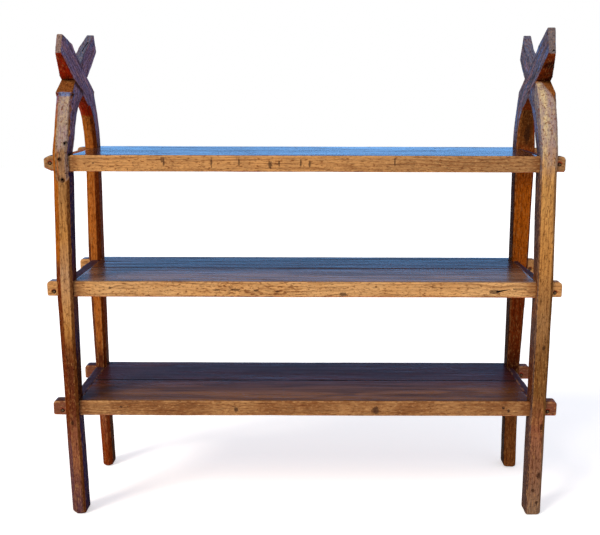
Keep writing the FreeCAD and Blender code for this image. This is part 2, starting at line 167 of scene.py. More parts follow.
@labelled
class RackFinishSettings(bpy.types.PropertyGroup):
    """Colours of the old varnished wood."""

    straw: colour("Lightest wood of the middle shelf's edge", 219, 167, 107)
    honey: colour("Rubbed front edges of the planks", 211, 152, 89)
    amber: colour("Less rubbed front edges", 171, 122, 73)
    umber: colour("Grain lines", 112, 60, 22)
    tan: colour("Rubbed front of the front right leg", 206, 152, 86)
    oak: colour("Rubbed fronts of the legs", 196, 136, 70)
    fawn: colour("Palest part of the front left leg", 192, 148, 106)
    hazel: colour("Duller wood below the weathered faces", 158, 114, 70)
    bronze: colour("Dull middle of the front right leg", 126, 84, 42)
    chestnut: colour("Brown stretches of the legs", 138, 80, 36)
    clove: colour("Dark stretches of the legs", 100, 48, 26)
    walnut: colour("Legs below the bottom shelf", 146, 88, 60)
    raisin: colour("Foot of the front left leg", 98, 62, 66)
    driftwood: colour("Foot of the front right leg", 140, 110, 86)
    copper: colour("Orange front of the rear left leg", 192, 108, 40)
    tawny: colour("Orange front of the rear right leg", 212, 108, 20)
    brick: colour("Red stretches of the rear legs", 130, 50, 12)
    sienna: colour("Lower part of the front left leg's facet", 104, 42, 12)
    # oxblood is mostly painted shade: inner sides, the shadow below the crossing, arches, rail undersides and
    # the lower shelf's ends
    oxblood: colour("Darkest red of the inner sides", 52, 12, 6)
    # taupe is the front right leg's inner side in painted shade
    taupe: colour("Inner side of the front right leg", 84, 64, 60)
    sepia: colour("Tenons of the bottom shelf", 122, 68, 48)
    ginger: colour("Facets that kept their varnish", 164, 88, 18)
    rust: colour("Rails and bright varnish", 182, 100, 22)
    # cherry is red varnish with painted warm bounce light
    cherry: colour("Undersides that kept their red varnish", 168, 36, 8)
    bark: colour("Deep grain and shadowed faces", 44, 22, 14)
    mahogany: colour("Varnished top of the upper shelf", 70, 44, 34)
    ash: colour("Worn varnish on the middle shelf", 142, 112, 92)
    cocoa: colour("Varnished top of the lower shelf", 124, 82, 44)
    # heather is weathered grey tinted violet as painted sky light
    heather: colour("Weathered inner faces of the crossed arms", 136, 114, 152)
    # navy is painted shade with blue sky light on the front left timber's inner side
    navy: colour("Inner side of the front left timber", 24, 20, 74)
    # plum is painted shade with sky light on the rails' sides and tops
    plum: colour("Sides and tops of the rails", 50, 32, 46)
    aubergine: colour("Varnished rear plank of the lower shelf", 76, 46, 50)
    # dusk is weathered grey tinted blue as painted sky light
    dusk: colour("Weathered upper faces of the arms", 96, 100, 122)
    mauve: colour("Pink streaks in the weathered arms", 176, 132, 148)
    # this blue is painted sky light: streaks on the arms and a reflection on the worn face's upper ledge
    steel: colour("Blue streaks in the weathered arms", 92, 120, 172)
    cream: colour("Lightest weathered wood", 212, 186, 140)
    bone: colour("Weathered bare wood", 158, 132, 124)
    sand: colour("Warmer weathered wood", 180, 154, 126)
    # the blue-grey of the right timber's inner facet, and the painted reflection of the sky on the left one's
    # lower ledge
    lichen: colour("Grey inner facet of the front right timber", 116, 106, 110)
    slate: colour("End grain of the left tip", 152, 128, 118)
    flint: colour("End grain of the right tip", 120, 112, 114)
    soot: colour("Holes and cracks", 14, 10, 9)
    moss: colour("Middle of the old pegs", 88, 90, 70)


@labelled
class RackStageSettings(bpy.types.PropertyGroup):
    """Floor, camera, sky, blue panel and lamp."""

    floor_width: length("Side of the square floor", 24.0)
    camera_side: length("How far right of the middle the camera stands", 0.045)
    camera_distance: length("From the middle of the rack to the camera", 2.915)
    camera_height: length("Eye height of the photographer", 1.358)
    camera_tilt: angle("How far the camera looks down", 11.4)
    camera_roll: angle("How far the camera leans over", -0.15)
    camera_lens: amount("Focal length on a sensor 36 mm wide", 54.12, unit="CAMERA")
    sensor_width: amount("Width of the sensor", 36.0, unit="CAMERA")
    camera_shift: amount("Sideways crop of the picture, as a share of its width", -0.0333)
    sky_strength: amount("Strength of the soft light from all round", 0.62)
    sky_colour: colour("Colour of the soft light", 236, 240, 255)
    panel_distance: length("How far behind the rack the blue panel stands", 8.0)
    panel_width: length("Width of the blue panel", 36.0)
    panel_colour: colour("Blue that the varnish mirrors", 124, 188, 255)
    panel_strength: amount("Brightness of the foot of the blue panel", 1.72)
    key_strength: amount("Strength of the main lamp", 2.3)
    key_colour: colour("Colour of the main lamp", 255, 244, 228)
    key_spread: angle("Apparent size of the main lamp, which softens shadows", 22)
    key_height: angle("Angle of the main lamp from straight up", 52)
    key_turn: angle("How far the main lamp stands to the left", -45)


# Shaping

def activate(piece):
    bpy.ops.object.select_all(action="DESELECT")
    piece.select_set(True)
    bpy.context.view_layer.objects.active = piece


def change(piece, kind, **choices):
    """Add a modifier with these choices and apply it."""
    activate(piece)
    modifier = piece.modifiers.new("change", kind)
    for choice, value in choices.items():
        setattr(modifier, choice, value)
    bpy.ops.object.modifier_apply(modifier=modifier.name)


def read_field(items, field, width, kind=np.float32):
    """One field of a mesh's points, edges or faces, as rows of numbers."""
    values = np.empty(len(items) * width, kind)
    items.foreach_get(field, values)
    return values.reshape(-1, width)


def points(piece):
    return read_field(piece.data.vertices, "co", 3)


def welded_copy(node, name):
    """A welded copy of a CAD node that stands for it; the node itself is left as it is."""
    piece = bpy.data.objects.new(name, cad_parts[node].data.copy())
    bpy.context.scene.collection.objects.link(piece)
    piece.data.materials.clear()
    activate(piece)
    bpy.ops.object.mode_set(mode="EDIT")
    bpy.ops.mesh.select_all(action="SELECT")
    bpy.ops.mesh.remove_doubles(threshold=WELD)
    bpy.ops.mesh.dissolve_limited(angle_limit=FLAT)
    bpy.ops.mesh.customdata_custom_splitnormals_clear()
    bpy.ops.object.mode_set(mode="OBJECT")
    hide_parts(node)
    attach(piece, "root")
    return piece


def is_sharp(edge):
    return edge.calc_face_angle(0) > SHARP


def bevel_where(piece, wanted, width, segments=1):
    """Bevel the edges that wanted(edge) picks."""
    activate(piece)
    bpy.ops.object.mode_set(mode="EDIT")
    bpy.ops.mesh.select_mode(type="EDGE")
    bpy.ops.mesh.select_all(action="DESELECT")
    shape = bmesh.from_edit_mesh(piece.data)
    for edge in shape.edges:
        edge.select = len(edge.link_faces) == 2 and wanted(edge)
    bmesh.update_edit_mesh(piece.data)
    bpy.ops.mesh.bevel(offset=width, segments=segments, affect="EDGES", clamp_overlap=False)
    bpy.ops.object.mode_set(mode="OBJECT")


def remesh(piece, voxel):
    change(piece, "REMESH", mode="VOXEL", voxel_size=voxel)


def wear_down(piece, size, stretch, depth, group="", kept=EVEN):
    """Make the surface uneven by depth, in clouds that are stretched along the grain.

    kept is the level of the clouds that stays where it is: 0.5 wears and swells alike, 1 only wears.
    """
    texture = bpy.data.textures.new("clouds", "CLOUDS")
    texture.noise_scale = size
    bpy.ops.object.empty_add()
    guide = bpy.context.active_object
    guide.scale = stretch
    bpy.context.view_layer.update()
    change(piece, "DISPLACE", texture=texture, texture_coords="OBJECT", texture_coords_object=guide,
           strength=depth, mid_level=kept, vertex_group=group)
    bpy.data.objects.remove(guide)
    bpy.data.textures.remove(texture)


def press_in(piece, group, depth):
    """Sink the points of a vertex group by depth."""
    change(piece, "DISPLACE", strength=-depth, mid_level=0.0, vertex_group=group)


def hold_in(piece, node):
    """Keep the points inside the box of the CAD node."""
    low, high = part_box(node)
    spots = np.clip(points(piece), np.array(low), np.array(high))
    piece.data.vertices.foreach_set("co", spots.astype(np.float32).ravel())
    piece.data.update()


def add_group(piece, title, weights):
    """A vertex group with a weight for each point; points without weight stay out."""
    group = piece.vertex_groups.new(name=title)
    steps = np.round(weights * WEIGHT_STEPS).astype(int)
    for step in range(1, WEIGHT_STEPS + 1):
        chosen = np.nonzero(steps == step)[0]
        if len(chosen):
            group.add(chosen.tolist(), step / WEIGHT_STEPS, "REPLACE")


def store(piece, title, values):
    """Keep a number or a vector for each point, for the materials to read."""
    kind, field = ("FLOAT", "value") if values.ndim == 1 else ("FLOAT_VECTOR", "vector")
    layer = piece.data.attributes.new(title, kind, "POINT")
    layer.data.foreach_set(field, values.astype(np.float32).ravel())


def edge_wear(piece):
    """Store how far each point stands proud of its neighbours (edge) or lies below them (hollow)."""
    spots = points(piece)
    normals = read_field(piece.data.vertices, "normal", 3)
    first, second = read_field(piece.data.edges, "vertices", 2, np.int32).T

    def gather(from_first, from_second):
        return np.bincount(first, from_first, len(spots)) + np.bincount(second, from_second, len(spots))

    along = spots[second] - spots[first]
    size = np.linalg.norm(along, axis=1) + WELD
    bend = np.einsum("ij,ij->i", along, normals[second] - normals[first]) / size
    count = gather(None, None) + WELD
    value = gather(bend, bend) / count
    for _ in range(WEAR_PASSES):
        value = (value + gather(value[second], value[first]) / count) / 2
    store(piece, "edge", np.clip(value * WEAR_GAIN, 0, 1))
    store(piece, "hollow", np.clip(-value * WEAR_GAIN, 0, 1))


def rise(values, low, high):
    """Smooth step from 0 at low to 1 at high."""
    share = np.clip((values - low) / (high - low), 0, 1)
    return share * share * (3 - 2 * share)


def fall(values, low, high):
    """Smooth step from 1 at low to 0 at high."""
    return 1 - rise(values, low, high)


def rough(spots, size, stretch=(1, 1, 1)):
    """Smooth noise between -1 and 1 at each point."""
    scaled = spots / size / np.array(stretch)
    return np.array([noise.noise(Vector(spot)) for spot in scaled.tolist()])


def cone_between(start, end, start_radius, end_radius, sides):
    """A tapered round cutter from one point to another."""
    start, end = Vector(start), Vector(end)
    axis = end - start
    bpy.ops.mesh.primitive_cone_add(
        vertices=sides, radius1=start_radius, radius2=end_radius, depth=axis.length,
        location=(start + end) / 2, rotation=axis.to_track_quat("Z", "Y").to_euler())
    cutter = bpy.context.active_object
    cutter.data.materials.append(hole_finish())
    return cutter


def cut_away(piece, cutters):
    """Cut the holes and cracks, whose walls keep the dark finish of the cutters."""
    if not cutters:
        return
    bpy.ops.object.select_all(action="DESELECT")
    for cutter in cutters:
        cutter.select_set(True)
    bpy.context.view_layer.objects.active = cutters[0]
    bpy.ops.object.join()
    change(piece, "BOOLEAN", operation="DIFFERENCE", object=cutters[0], solver="EXACT",
           material_mode="TRANSFER")
    bpy.data.objects.remove(cutters[0])


def give_faces(piece, finish, wanted):
    """Give another material to the faces that wanted(normals, middles) picks."""
    faces = piece.data.polygons
    slots = read_field(faces, "material_index", 1, np.int32).ravel()
    piece.data.materials.append(finish)
    picked = wanted(read_field(faces, "normal", 3), read_field(faces, "center", 3)) & (slots == 0)
    slots[picked] = len(piece.data.materials) - 1
    faces.foreach_set("material_index", slots)


def smooth(piece):
    activate(piece)
    bpy.ops.object.shade_smooth_by_angle(angle=CREASE)


# Leg timbers

def faces_of(edge):
    """The faces beside an edge, the one that looks more to the side first."""
    faces = sorted(edge.link_faces, key=lambda face: -abs(face.normal.x))
    return faces[0], faces[1]


def middle_of(edge):
    return (edge.verts[0].co + edge.verts[1].co) / 2


def is_long_edge(edge, row, depth, seat_top):
    """Whether an edge runs along the outline of a timber, and not round a mortise or a lap."""
    side, other = faces_of(edge)
    if abs(side.normal.x) < SIDE_SHARE or abs(other.normal.x) > PROFILE_SHARE:
        return False
    if other.normal.y * other.normal.z * FACING[row] > LAP_SHARE or abs(other.normal.z) > LEVEL_SHARE:
        return False
    middle = middle_of(edge)
    if abs(other.normal.y) > UPRIGHT_SHARE and middle.z < seat_top:
        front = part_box(f"{row}_left_leg")[0 if row == "front" else 1].y
        outward = abs(abs(middle.y) - abs(front)) < NEAR
        inward = abs(abs(middle.y) - (abs(front) - depth)) < NEAR
        return outward or inward
    return True


def shape_timber(settings, row, end):
    name = f"{row}_{end}_leg"
    timber = welded_copy(name, f"{name}_timber")
    facet = getattr(settings, f"{row}_{end}_facet")
    outer_facet = getattr(settings, f"{row}_{end}_outer_facet", facet)
    outward = END_SIGN[end]
    depth, seat_top, facet_top = settings.depth, settings.seat_top, settings.facet_top

    def on_leg(edge):
        return middle_of(edge).z < facet_top and is_long_edge(edge, row, depth, seat_top)

    def outer_front(edge):
        side, other = faces_of(edge)
        return on_leg(edge) and side.normal.x * outward > 0 and other.normal.y * FACING[row] < 0

    def other_leg_edge(edge):
        return on_leg(edge) and not outer_front(edge)

    def arm_edge(edge):
        return middle_of(edge).z > facet_top and is_long_edge(edge, row, depth, seat_top)

    def foot_edge(edge):
        return max(corner.co.z for corner in edge.verts) < NEAR

    bevel_where(timber, outer_front, outer_facet)
    bevel_where(timber, other_leg_edge, facet)
    bevel_where(timber, arm_edge, settings.arm_edge)
    bevel_where(timber, foot_edge, settings.foot_round, segments=3)
    remesh(timber, settings.voxel)
    return timber


# The middle line of a front timber from the foot over the shoulder to the tip: depth and height.
GRAIN_LINE = ((-0.187, 0), (-0.187, 1.13), (-0.158, 1.27), (-0.075, 1.35), (0, 1.383), (0.26, 1.52))


def timber_grain(piece, row):
    """Coordinates that run with the bent grain: across, through and along the timber."""
    spots = points(piece)
    profile = np.stack((spots[:, 1] * FACING[row], spots[:, 2]), axis=1)
    line = np.array(GRAIN_LINE)
    nearest = np.full(len(spots), np.inf)
    grain = np.zeros((len(spots), 3))
    grain[:, 0] = spots[:, 0]
    start_length = 0
    for start, end in zip(line[:-1], line[1:]):
        size = np.linalg.norm(end - start)
        ahead = (end - start) / size
        offset = profile - start
        reach = np.clip(offset @ ahead, 0, size)
        away = offset - reach[:, None] * ahead
        distance = np.linalg.norm(away, axis=1)
        closer = distance < nearest
        nearest[closer] = distance[closer]
        grain[closer, 1] = (away @ np.array((ahead[1], -ahead[0])))[closer]
        grain[closer, 2] = (start_length + reach)[closer]
        start_length += size
    store(piece, "grain", grain)


# How far back the front timbers are weathered, and the height above which that goes further back.
LEFT_BACK, LEFT_BEND, LEFT_LEAN = -0.17, 1.30, 0.5
RIGHT_BACK, RIGHT_BEND, RIGHT_LEAN = -0.205, 1.2, 0.60
# The middle of the worn face of the front left timber, and how it leans outward below the shoulder.
WORN_MIDDLE, WORN_BEND, WORN_LEAN = -0.7175, 1.26, 0.048


def on_front(spots, back, bend, lean):
    """How surely a point lies on the front of a timber that leans back above a height."""
    _, y, z = spots.T
    limit = back + np.clip(z - bend, 0, 1) * lean
    return fall(y, limit, limit + 0.01)


def front_left_bare(spots):
    """The weathered, sunken front face of the front left timber."""
    x, _, z = spots.T
    ragged = rough(spots, 0.016)
    off_middle = np.abs(x - WORN_MIDDLE + np.clip(WORN_BEND - z, 0, 1) * WORN_LEAN)
    across = fall(off_middle + ragged * 0.002, 0.0195, 0.0225)
    bottom = rise(z + ragged * 0.006 - 0.9 * off_middle, 1.066, 1.070)
    top = fall(z + ragged * 0.002, 1.336, 1.338)
    return across * bottom * top * on_front(spots, LEFT_BACK, LEFT_BEND, LEFT_LEAN)


def front_left_pale(spots):
    """How pale the weathered face is: fully at the top, in streaks lower down."""
    x, _, z = spots.T
    ragged = rough(spots, 0.02, (1, 1, 3))
    full = rise(z + ragged * 0.014, 1.150, 1.185)
    streak = rise(x + ragged * 0.004, -0.7200, -0.7130) * 0.6
    within = fall(x + ragged * 0.001, -0.7065, -0.7025)
    return front_left_bare(spots) * within * np.maximum(full, np.maximum(streak, 0.15))


def rear_left_arch(spots):
    """The underside of the arch, cut back above a ledge."""
    x, y, z = spots.T
    above = rise(z + rough(spots, 0.010) * 0.005, 1.246, 1.250)
    across = rise(x, -0.750, -0.746) * fall(x, -0.722, -0.717)
    return 0.5 * above * across * fall(z, 1.30, 1.34) * fall(y, 0.165, 0.175)


def front_right_bare(spots):
    """The pitted, pale front face of the front right timber."""
    x, _, z = spots.T
    bottom = rise(z + rough(spots, 0.02) * 0.035, 1.06, 1.22)
    ridge = fall(x + (z - 1.33) * 0.45, 0.738, 0.744)
    return bottom * on_front(spots, RIGHT_BACK, RIGHT_BEND, RIGHT_LEAN) * ridge


# Where a face is cut back, where it is pitted and where it is pale.
SUNK_FACES = {
    "front_left": front_left_bare,
    "rear_left": rear_left_arch,
}
PITTED_FACES = {
    "front_left": front_left_bare,
    "front_right": front_right_bare,
    "rear_left": rear_left_arch,
}
PALE_FACES = {
    "front_left": front_left_pale,
    "front_right": front_right_bare,
}

# Old nail holes: where each starts and ends, and how wide it is for its kind.
NAIL_HOLES = {
    "front_left": (
        ((-0.6950, -0.20, 1.3300), (-0.6950, -0.146, 1.3300), 1.2),
        ((-0.7214, 0.1530, 1.4970), (-0.7248, 0.0840, 1.4655), 1.1),
        ((-0.7113, -0.23, 1.1883), (-0.7113, -0.206, 1.1883), 1.6),
        ((-0.7318, -0.23, 1.1410), (-0.7318, -0.206, 1.1410), 1.35),
        ((-0.7252, -0.23, 1.0795), (-0.7252, -0.204, 1.0795), 1.5),
    ),
    "front_right": (
        ((0.6770, -0.20, 1.3586), (0.6770, -0.120, 1.3586), 0.8),
        ((0.6754, -0.20, 1.3440), (0.6754, -0.130, 1.3440), 0.7),
    ),
    "rear_left": (),
    "rear_right": (
        ((0.7220, -0.26, 1.4600), (0.7220, -0.215, 1.4600), 1.5),
    ),
}


# How much longer than wide the hollows, the pits and the ripples are, up the timber.
HEWN_STRETCH = (1, 1, 4)
PIT_STRETCH = (1, 1, 2.5)
GRAIN_STRETCH = (1, 1, 12)
HOLE_SIDES = 9


class RACK_OT_timbers(bpy.types.Operator):
    """Shape the four bent timbers: facets, worn feet, weathered faces and nail holes"""

    bl_idname = "rack.timbers"
    bl_label = "Leg timbers"

    def execute(self, context):
        settings = context.scene.rack_timbers
        for row in ROWS:
            for end in ENDS:
                self.make(settings, row, end)
        return {"FINISHED"}

    def make(self, settings, row, end):
        key = f"{row}_{end}"
        timber = shape_timber(settings, row, end)
        timber.data.materials.append(timber_finish(row, end))
        hole = settings.nail_hole
        cut_away(timber, [
            cone_between(start, finish, hole * share, hole * share / 2, HOLE_SIDES)
            for start, finish, share in NAIL_HOLES[key]
        ])
        wear_down(timber, settings.heave_size, HEWN_STRETCH, settings.heave)
        if key in SUNK_FACES:
            add_group(timber, "sunk", SUNK_FACES[key](points(timber)))
            press_in(timber, "sunk", settings.bare_depth)
        if key in PITTED_FACES:
            add_group(timber, "pitted", PITTED_FACES[key](points(timber)))
            wear_down(timber, settings.pit_size, PIT_STRETCH, settings.pit_depth, "pitted", MOSTLY_WORN)
        wear_down(timber, settings.ripple_size, GRAIN_STRETCH, settings.ripple)
        timber.vertex_groups.clear()
        hold_in(timber, f"{row}_{end}_leg")
        timber_grain(timber, row)
        edge_wear(timber)
        spots = points(timber)
        store(timber, "bare", PALE_FACES[key](spots) if key in PALE_FACES else np.zeros(len(spots)))
        smooth(timber)


# Planks, and what the rails share with them

# Cracks in the front edges: start, end and greatest radius.
CRACKS = {
    "middle_shelf_front_plank": (
        ((0.590, -0.2065, 0.7365), (0.640, -0.2040, 0.7450), 0.0040),
        ((0.642, -0.2055, 0.7450), (0.712, -0.2040, 0.7462), 0.0017),
    ),
    "top_shelf_front_plank": (
        ((-0.4300, -0.2060, 1.1480), (-0.4290, -0.2040, 1.1250), 0.0016),
    ),
    "bottom_shelf_front_plank": (
        ((0.6250, -0.2060, 0.3600), (0.6330, -0.2040, 0.3560), 0.0020),
        ((0.6430, -0.2060, 0.3520), (0.6460, -0.2040, 0.3450), 0.0016),
    ),
}

CRACK_SIDES = 7
# The tops are varnished as far as the right leg, and the edges this near the seam.
UP_SHARE = 0.8
VARNISH_END = 0.735
SEAM_REACH = 0.007
# How much longer than wide the hollows and the ripples are, and the level that the hollows leave.
BOARD_WEAR = {
    "plank": ((5, 1, 1), (14, 1, 1), EVEN),
    "rail": ((1, 2.5, 1), (1, 12, 1), MOSTLY_WORN),
}


def worn_board(settings, kind, node, name):
    """A plank or a rail with worn edges, and with hollows and ripples along its grain."""
    edge, voxel, size, depth = (
        getattr(settings, f"{kind}_{part}") for part in ("edge", "voxel", "heave_size", "heave"))
    hollows, ripples, level = BOARD_WEAR[kind]
    board = welded_copy(node, name)
    bevel_where(board, is_sharp, edge, segments=2)
    remesh(board, voxel)
    wear_down(board, size, hollows, depth, kept=level)
    wear_down(board, settings.ripple_size, ripples, settings.ripple)
    hold_in(board, node)
    return board


class RACK_OT_planks(bpy.types.Operator):
    """Shape the six shelf planks with their worn edges, tenons and cracks"""

    bl_idname = "rack.planks"
    bl_label = "Shelf planks"

    def execute(self, context):
        settings = context.scene.rack_shelves
        for level in LEVELS:
            for row in ROWS:
                self.make(settings, level, row)
        return {"FINISHED"}

    def make(self, settings, level, row):
        name = f"{level}_shelf_{row}_plank"
        plank = worn_board(settings, "plank", name, f"{name}_board")
        plank.data.materials.append(plank_finish(level, row))
        cut_away(plank, [
            cone_between(start, finish, radius, 0, CRACK_SIDES)
            for start, finish, radius in CRACKS.get(name, ())
        ])
        give_faces(plank, shelf_top_finish(level, row), self.is_top)
        edge_wear(plank)
        smooth(plank)

    def is_top(self, normals, middles):
        """The dark varnished faces: the top as far as the right leg, and the edge at the seam."""
        level_face = (normals[:, 2] > UP_SHARE) & (middles[:, 0] < VARNISH_END)
        return level_face | (np.abs(middles[:, 1]) < SEAM_REACH)


# Rails

class RACK_OT_rails(bpy.types.Operator):
    """Shape the six end rails, rounded and uneven like split branches"""

    bl_idname = "rack.rails"
    bl_label = "End rails"

    def execute(self, context):
        settings = context.scene.rack_shelves
        for end in ENDS:
            for level in LEVELS:
                self.make(settings, end, level)
        return {"FINISHED"}

    def make(self, settings, end, level):
        name = f"{end}_{level}_rail"
        rail = worn_board(settings, "rail", name, f"{name}_bar")
        rail.data.materials.append(rail_finish(end, level))
        edge_wear(rail)
        smooth(rail)


# Pegs

def whittled_peg(settings, node, axis):
    """A whittled peg with domed ends, a little slack in its hole."""
    low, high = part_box(node)
    middle = (low + high) / 2
    radius = min(high - low) / 2 * PEG_SHARE
    turn = (math.pi / 2, 0, 0) if axis == 1 else (0, math.pi / 2, 0)
    bpy.ops.object.select_all(action="DESELECT")
    bpy.ops.mesh.primitive_cylinder_add(
        vertices=settings.peg_facets, radius=radius, depth=(high - low)[axis], location=middle, rotation=turn)
    peg = bpy.context.active_object
    peg.name = f"{node}_whittled"
    bpy.ops.object.transform_apply(location=True, rotation=True, scale=True)
    bevel_where(peg, is_sharp, settings.peg_dome, segments=3)
    change(peg, "SUBSURF", levels=2, render_levels=2)
    away = points(peg) - np.array(middle)
    away[:, axis] = 0
    store(peg, "rim", np.clip(np.linalg.norm(away, axis=1) / radius, 0, 1))
    peg.data.materials.append(peg_finish())
    smooth(peg)
    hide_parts(node)
    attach(peg, "root")


class RACK_OT_pegs(bpy.types.Operator):
    """Make the pegs that lock the tenons and the crossings"""

    bl_idname = "rack.pegs"
    bl_label = "Pegs"

    def execute(self, context):
        settings = context.scene.rack_shelves
        for end in ENDS:
            for level in LEVELS:
                for row in ROWS:
                    whittled_peg(settings, f"{level}_{row}_{end}_tenon_peg", 1)
            whittled_peg(settings, f"{end}_crossing_peg", 0)
        return {"FINISHED"}


# Materials

# What a coat of colour says to multiply the shade and not to cover it.
DARKEN = "MULTIPLY"
# The height that the ramps of the leg tones reach to.
RAMP_REACH = 1.5
# The level that noise wavers about, and how far it moves the tones up and down a leg.
NOISE_MIDDLE = 0.5
TONE_SHIFT = 0.16
# Half the height over which red varnish gives way to bare wood.
RED_FADE = 0.006
BUMP_STRENGTH = 0.8
ORIGIN = (0.0, 0.0, 0.0)


def tone_of(look):
    """A tone of the palette by its name; a socket or a colour stays what it is."""
    return tuple(getattr(bpy.context.scene.rack_finish, look)) if isinstance(look, str) else look


class Wiring:
    """Adds nodes to one tree and joins them up."""

    def __init__(self, tree):
        self.tree = tree

    def node(self, kind, **choices):
        made = self.tree.nodes.new(kind)
        for choice, value in choices.items():
            setattr(made, choice, value)
        return made

    def feed(self, socket, value):
        """Join a socket to another, or give it a plain value."""
        if isinstance(value, bpy.types.NodeSocket):
            self.tree.links.new(value, socket)
        else:
            socket.default_value = value

    def filled(self, kind, values, **choices):
        """The outputs of a new node whose sockets get these values in order."""
        made = self.node(kind, **choices)
        for socket, value in zip(made.inputs, values):
            self.feed(socket, value)
        return made.outputs

    def math(self, operation, *values):
        return self.filled("ShaderNodeMath", values, operation=operation)[0]

    def vector(self, operation, *values):
        return self.filled("ShaderNodeVectorMath", values, operation=operation)

    def plus(self, first, second):
        return self.math("ADD", first, second)

    def minus(self, first, second):
        return self.math("SUBTRACT", first, second)

    def times(self, first, second):
        return self.math("MULTIPLY", first, second)

    def mix(self, amount, first, second, blend="MIX"):
        made = self.node("ShaderNodeMix", data_type="RGBA", blend_type=blend, clamp_factor=True)
        self.feed(made.inputs["Factor"], amount)
        for socket, value in ((made.inputs[6], first), (made.inputs[7], second)):
            self.feed(socket, value if isinstance(value, bpy.types.NodeSocket) else (*value, 1.0))
        return made.outputs[2]

    def spread(self, value, low, high, to_low=0.0, to_high=1.0):
        """Stretch the part of a value between low and high over another range."""
        values = (value, low, high, to_low, to_high)
        return self.filled("ShaderNodeMapRange", values, interpolation_type="SMOOTHSTEP")[0]

    def coats(self, shade, *coats):
        """Lay tones over a shade, one after the other.

        A coat is a tone, a mask and how the mask is used: all of it, a share of it, or its rise from
        low to high, up to a share. DARKEN at the end multiplies instead of covering. A tone is a name
        from the palette or a socket.
        """
        for look, mask, *use in coats:
            blend = use.pop() if DARKEN in use else "MIX"
            if len(use) == 1:
                mask = self.times(mask, use[0])
            elif use:
                mask = self.spread(mask, use[0], use[1], 0.0, *use[2:])
            shade = self.mix(mask, tone_of(shade), tone_of(look), blend)
        return shade

    def ramp(self, value, stops):
        """Blend from tone to tone, each at its own height on a leg."""
        made = self.node("ShaderNodeValToRGB")
        self.feed(made.inputs[0], self.math("DIVIDE", value, RAMP_REACH))
        elements = made.color_ramp.elements
        for element, (height, look) in zip(elements, (stops[0], stops[-1])):
            element.position = height / RAMP_REACH
            element.color = (*tone_of(look), 1.0)
        for height, look in stops[1:-1]:
            elements.new(height / RAMP_REACH).color = (*tone_of(look), 1.0)
        return made.outputs[0]

    def stretch(self, vector, scale, shift=ORIGIN):
        made = self.node("ShaderNodeMapping")
        self.give(made.inputs, Vector=vector, Scale=scale, Location=shift)
        return made.outputs[0]

    def noise(self, vector, scale, detail=2.0, roughness=0.5):
        made = self.node("ShaderNodeTexNoise")
        self.give(made.inputs, Vector=vector, Scale=scale, Detail=detail, Roughness=roughness)
        return made.outputs[0]

    def clouds(self, vector, scales, detail=2.0, roughness=0.5, shift=ORIGIN):
        """Noise with its own scale along each axis."""
        return self.noise(self.stretch(vector, scales, shift), 1.0, detail, roughness)

    def split(self, vector):
        return self.filled("ShaderNodeSeparateXYZ", (vector,))

    def join(self, *values):
        return self.filled("ShaderNodeCombineXYZ", values)[0]

    def place(self):
        return self.node("ShaderNodeTexCoord").outputs["Object"]

    def attribute(self, title, output="Fac"):
        return self.node("ShaderNodeAttribute", attribute_name=title).outputs[output]

    def give(self, sockets, **values):
        for socket, value in values.items():
            self.feed(sockets[socket], value)

    def group(self, tree, **values):
        made = self.node("ShaderNodeGroup", node_tree=tree)
        self.give(made.inputs, **values)
        return made.outputs


def new_group(title, outputs, **inputs):
    """An empty shader node group with its sockets, ready to wire."""
    tree = bpy.data.node_groups.new(title, "ShaderNodeTree")
    for socket, default in inputs.items():
        kind = "NodeSocketVector" if isinstance(default, tuple) else "NodeSocketFloat"
        tree.interface.new_socket(socket, in_out="INPUT", socket_type=kind).default_value = default
    for socket in outputs:
        tree.interface.new_socket(socket, in_out="OUTPUT", socket_type="NodeSocketFloat")
    wires = Wiring(tree)
    return tree, wires, wires.node("NodeGroupInput").outputs, wires.node("NodeGroupOutput").inputs


def grain_group():
    """Growth rings, fibres and pores of old teak, along the third coordinate."""
    title = "Teak grain"
    if title in bpy.data.node_groups:
        return bpy.data.node_groups[title]
    tree, wires, given, out = new_group(
        title, ("Rings", "Fibre", "Pores", "Height"),
        Vector=ORIGIN, Ring=0.008, Wander=0.02, Heart=(0.1, 0.16, 0.0))
    place = given["Vector"]
    drifts = (wires.clouds(place, (9.0, 9.0, 1.6), 3.0, 0.55),
              wires.clouds(place, (11.0, 11.0, 2.2), 2.0, 0.5, (7.3, 2.1, 4.4)))
    squares = []
    for spot, heart, drift in zip(wires.split(place), wires.split(given["Heart"]), drifts):
        shift = wires.times(wires.minus(drift, NOISE_MIDDLE), given["Wander"])
        away = wires.plus(wires.minus(spot, heart), shift)
        squares.append(wires.times(away, away))
    radius = wires.math("SQRT", wires.plus(*squares))
    turn = wires.math("FRACT", wires.math("DIVIDE", radius, given["Ring"]))
    band = wires.times(wires.spread(turn, 0.35, 0.9), wires.spread(turn, 0.93, 1.0, 1.0, 0.0))
    breaks = wires.clouds(place, (60.0, 60.0, 5.0))
    rings = wires.times(band, wires.spread(breaks, 0.35, 0.62))
    fibre = wires.clouds(place, (330.0, 330.0, 9.0), 3.0, 0.6)
    pores = wires.spread(wires.clouds(place, (700.0, 700.0, 40.0), 1.0), 0.62, 0.70)
    low = wires.plus(wires.times(rings, 0.4), wires.times(pores, 0.8))
    wires.give(out, Rings=rings, Fibre=fibre, Pores=pores, Height=wires.minus(wires.times(fibre, 0.6), low))
    return tree


# The part of a face's normal that each mask reads, and where the mask starts and is full.
FACING_MASKS = {
    "Up": ("Z", 0.55, 0.85),
    "Slope": ("Z", 0.25, 0.45),
    "Down": ("Z", -0.12, -0.30),
    "Front": ("Y", -0.80, -0.95),
    "Left": ("X", -0.30, -0.55),
    "Right": ("X", 0.30, 0.55),
}


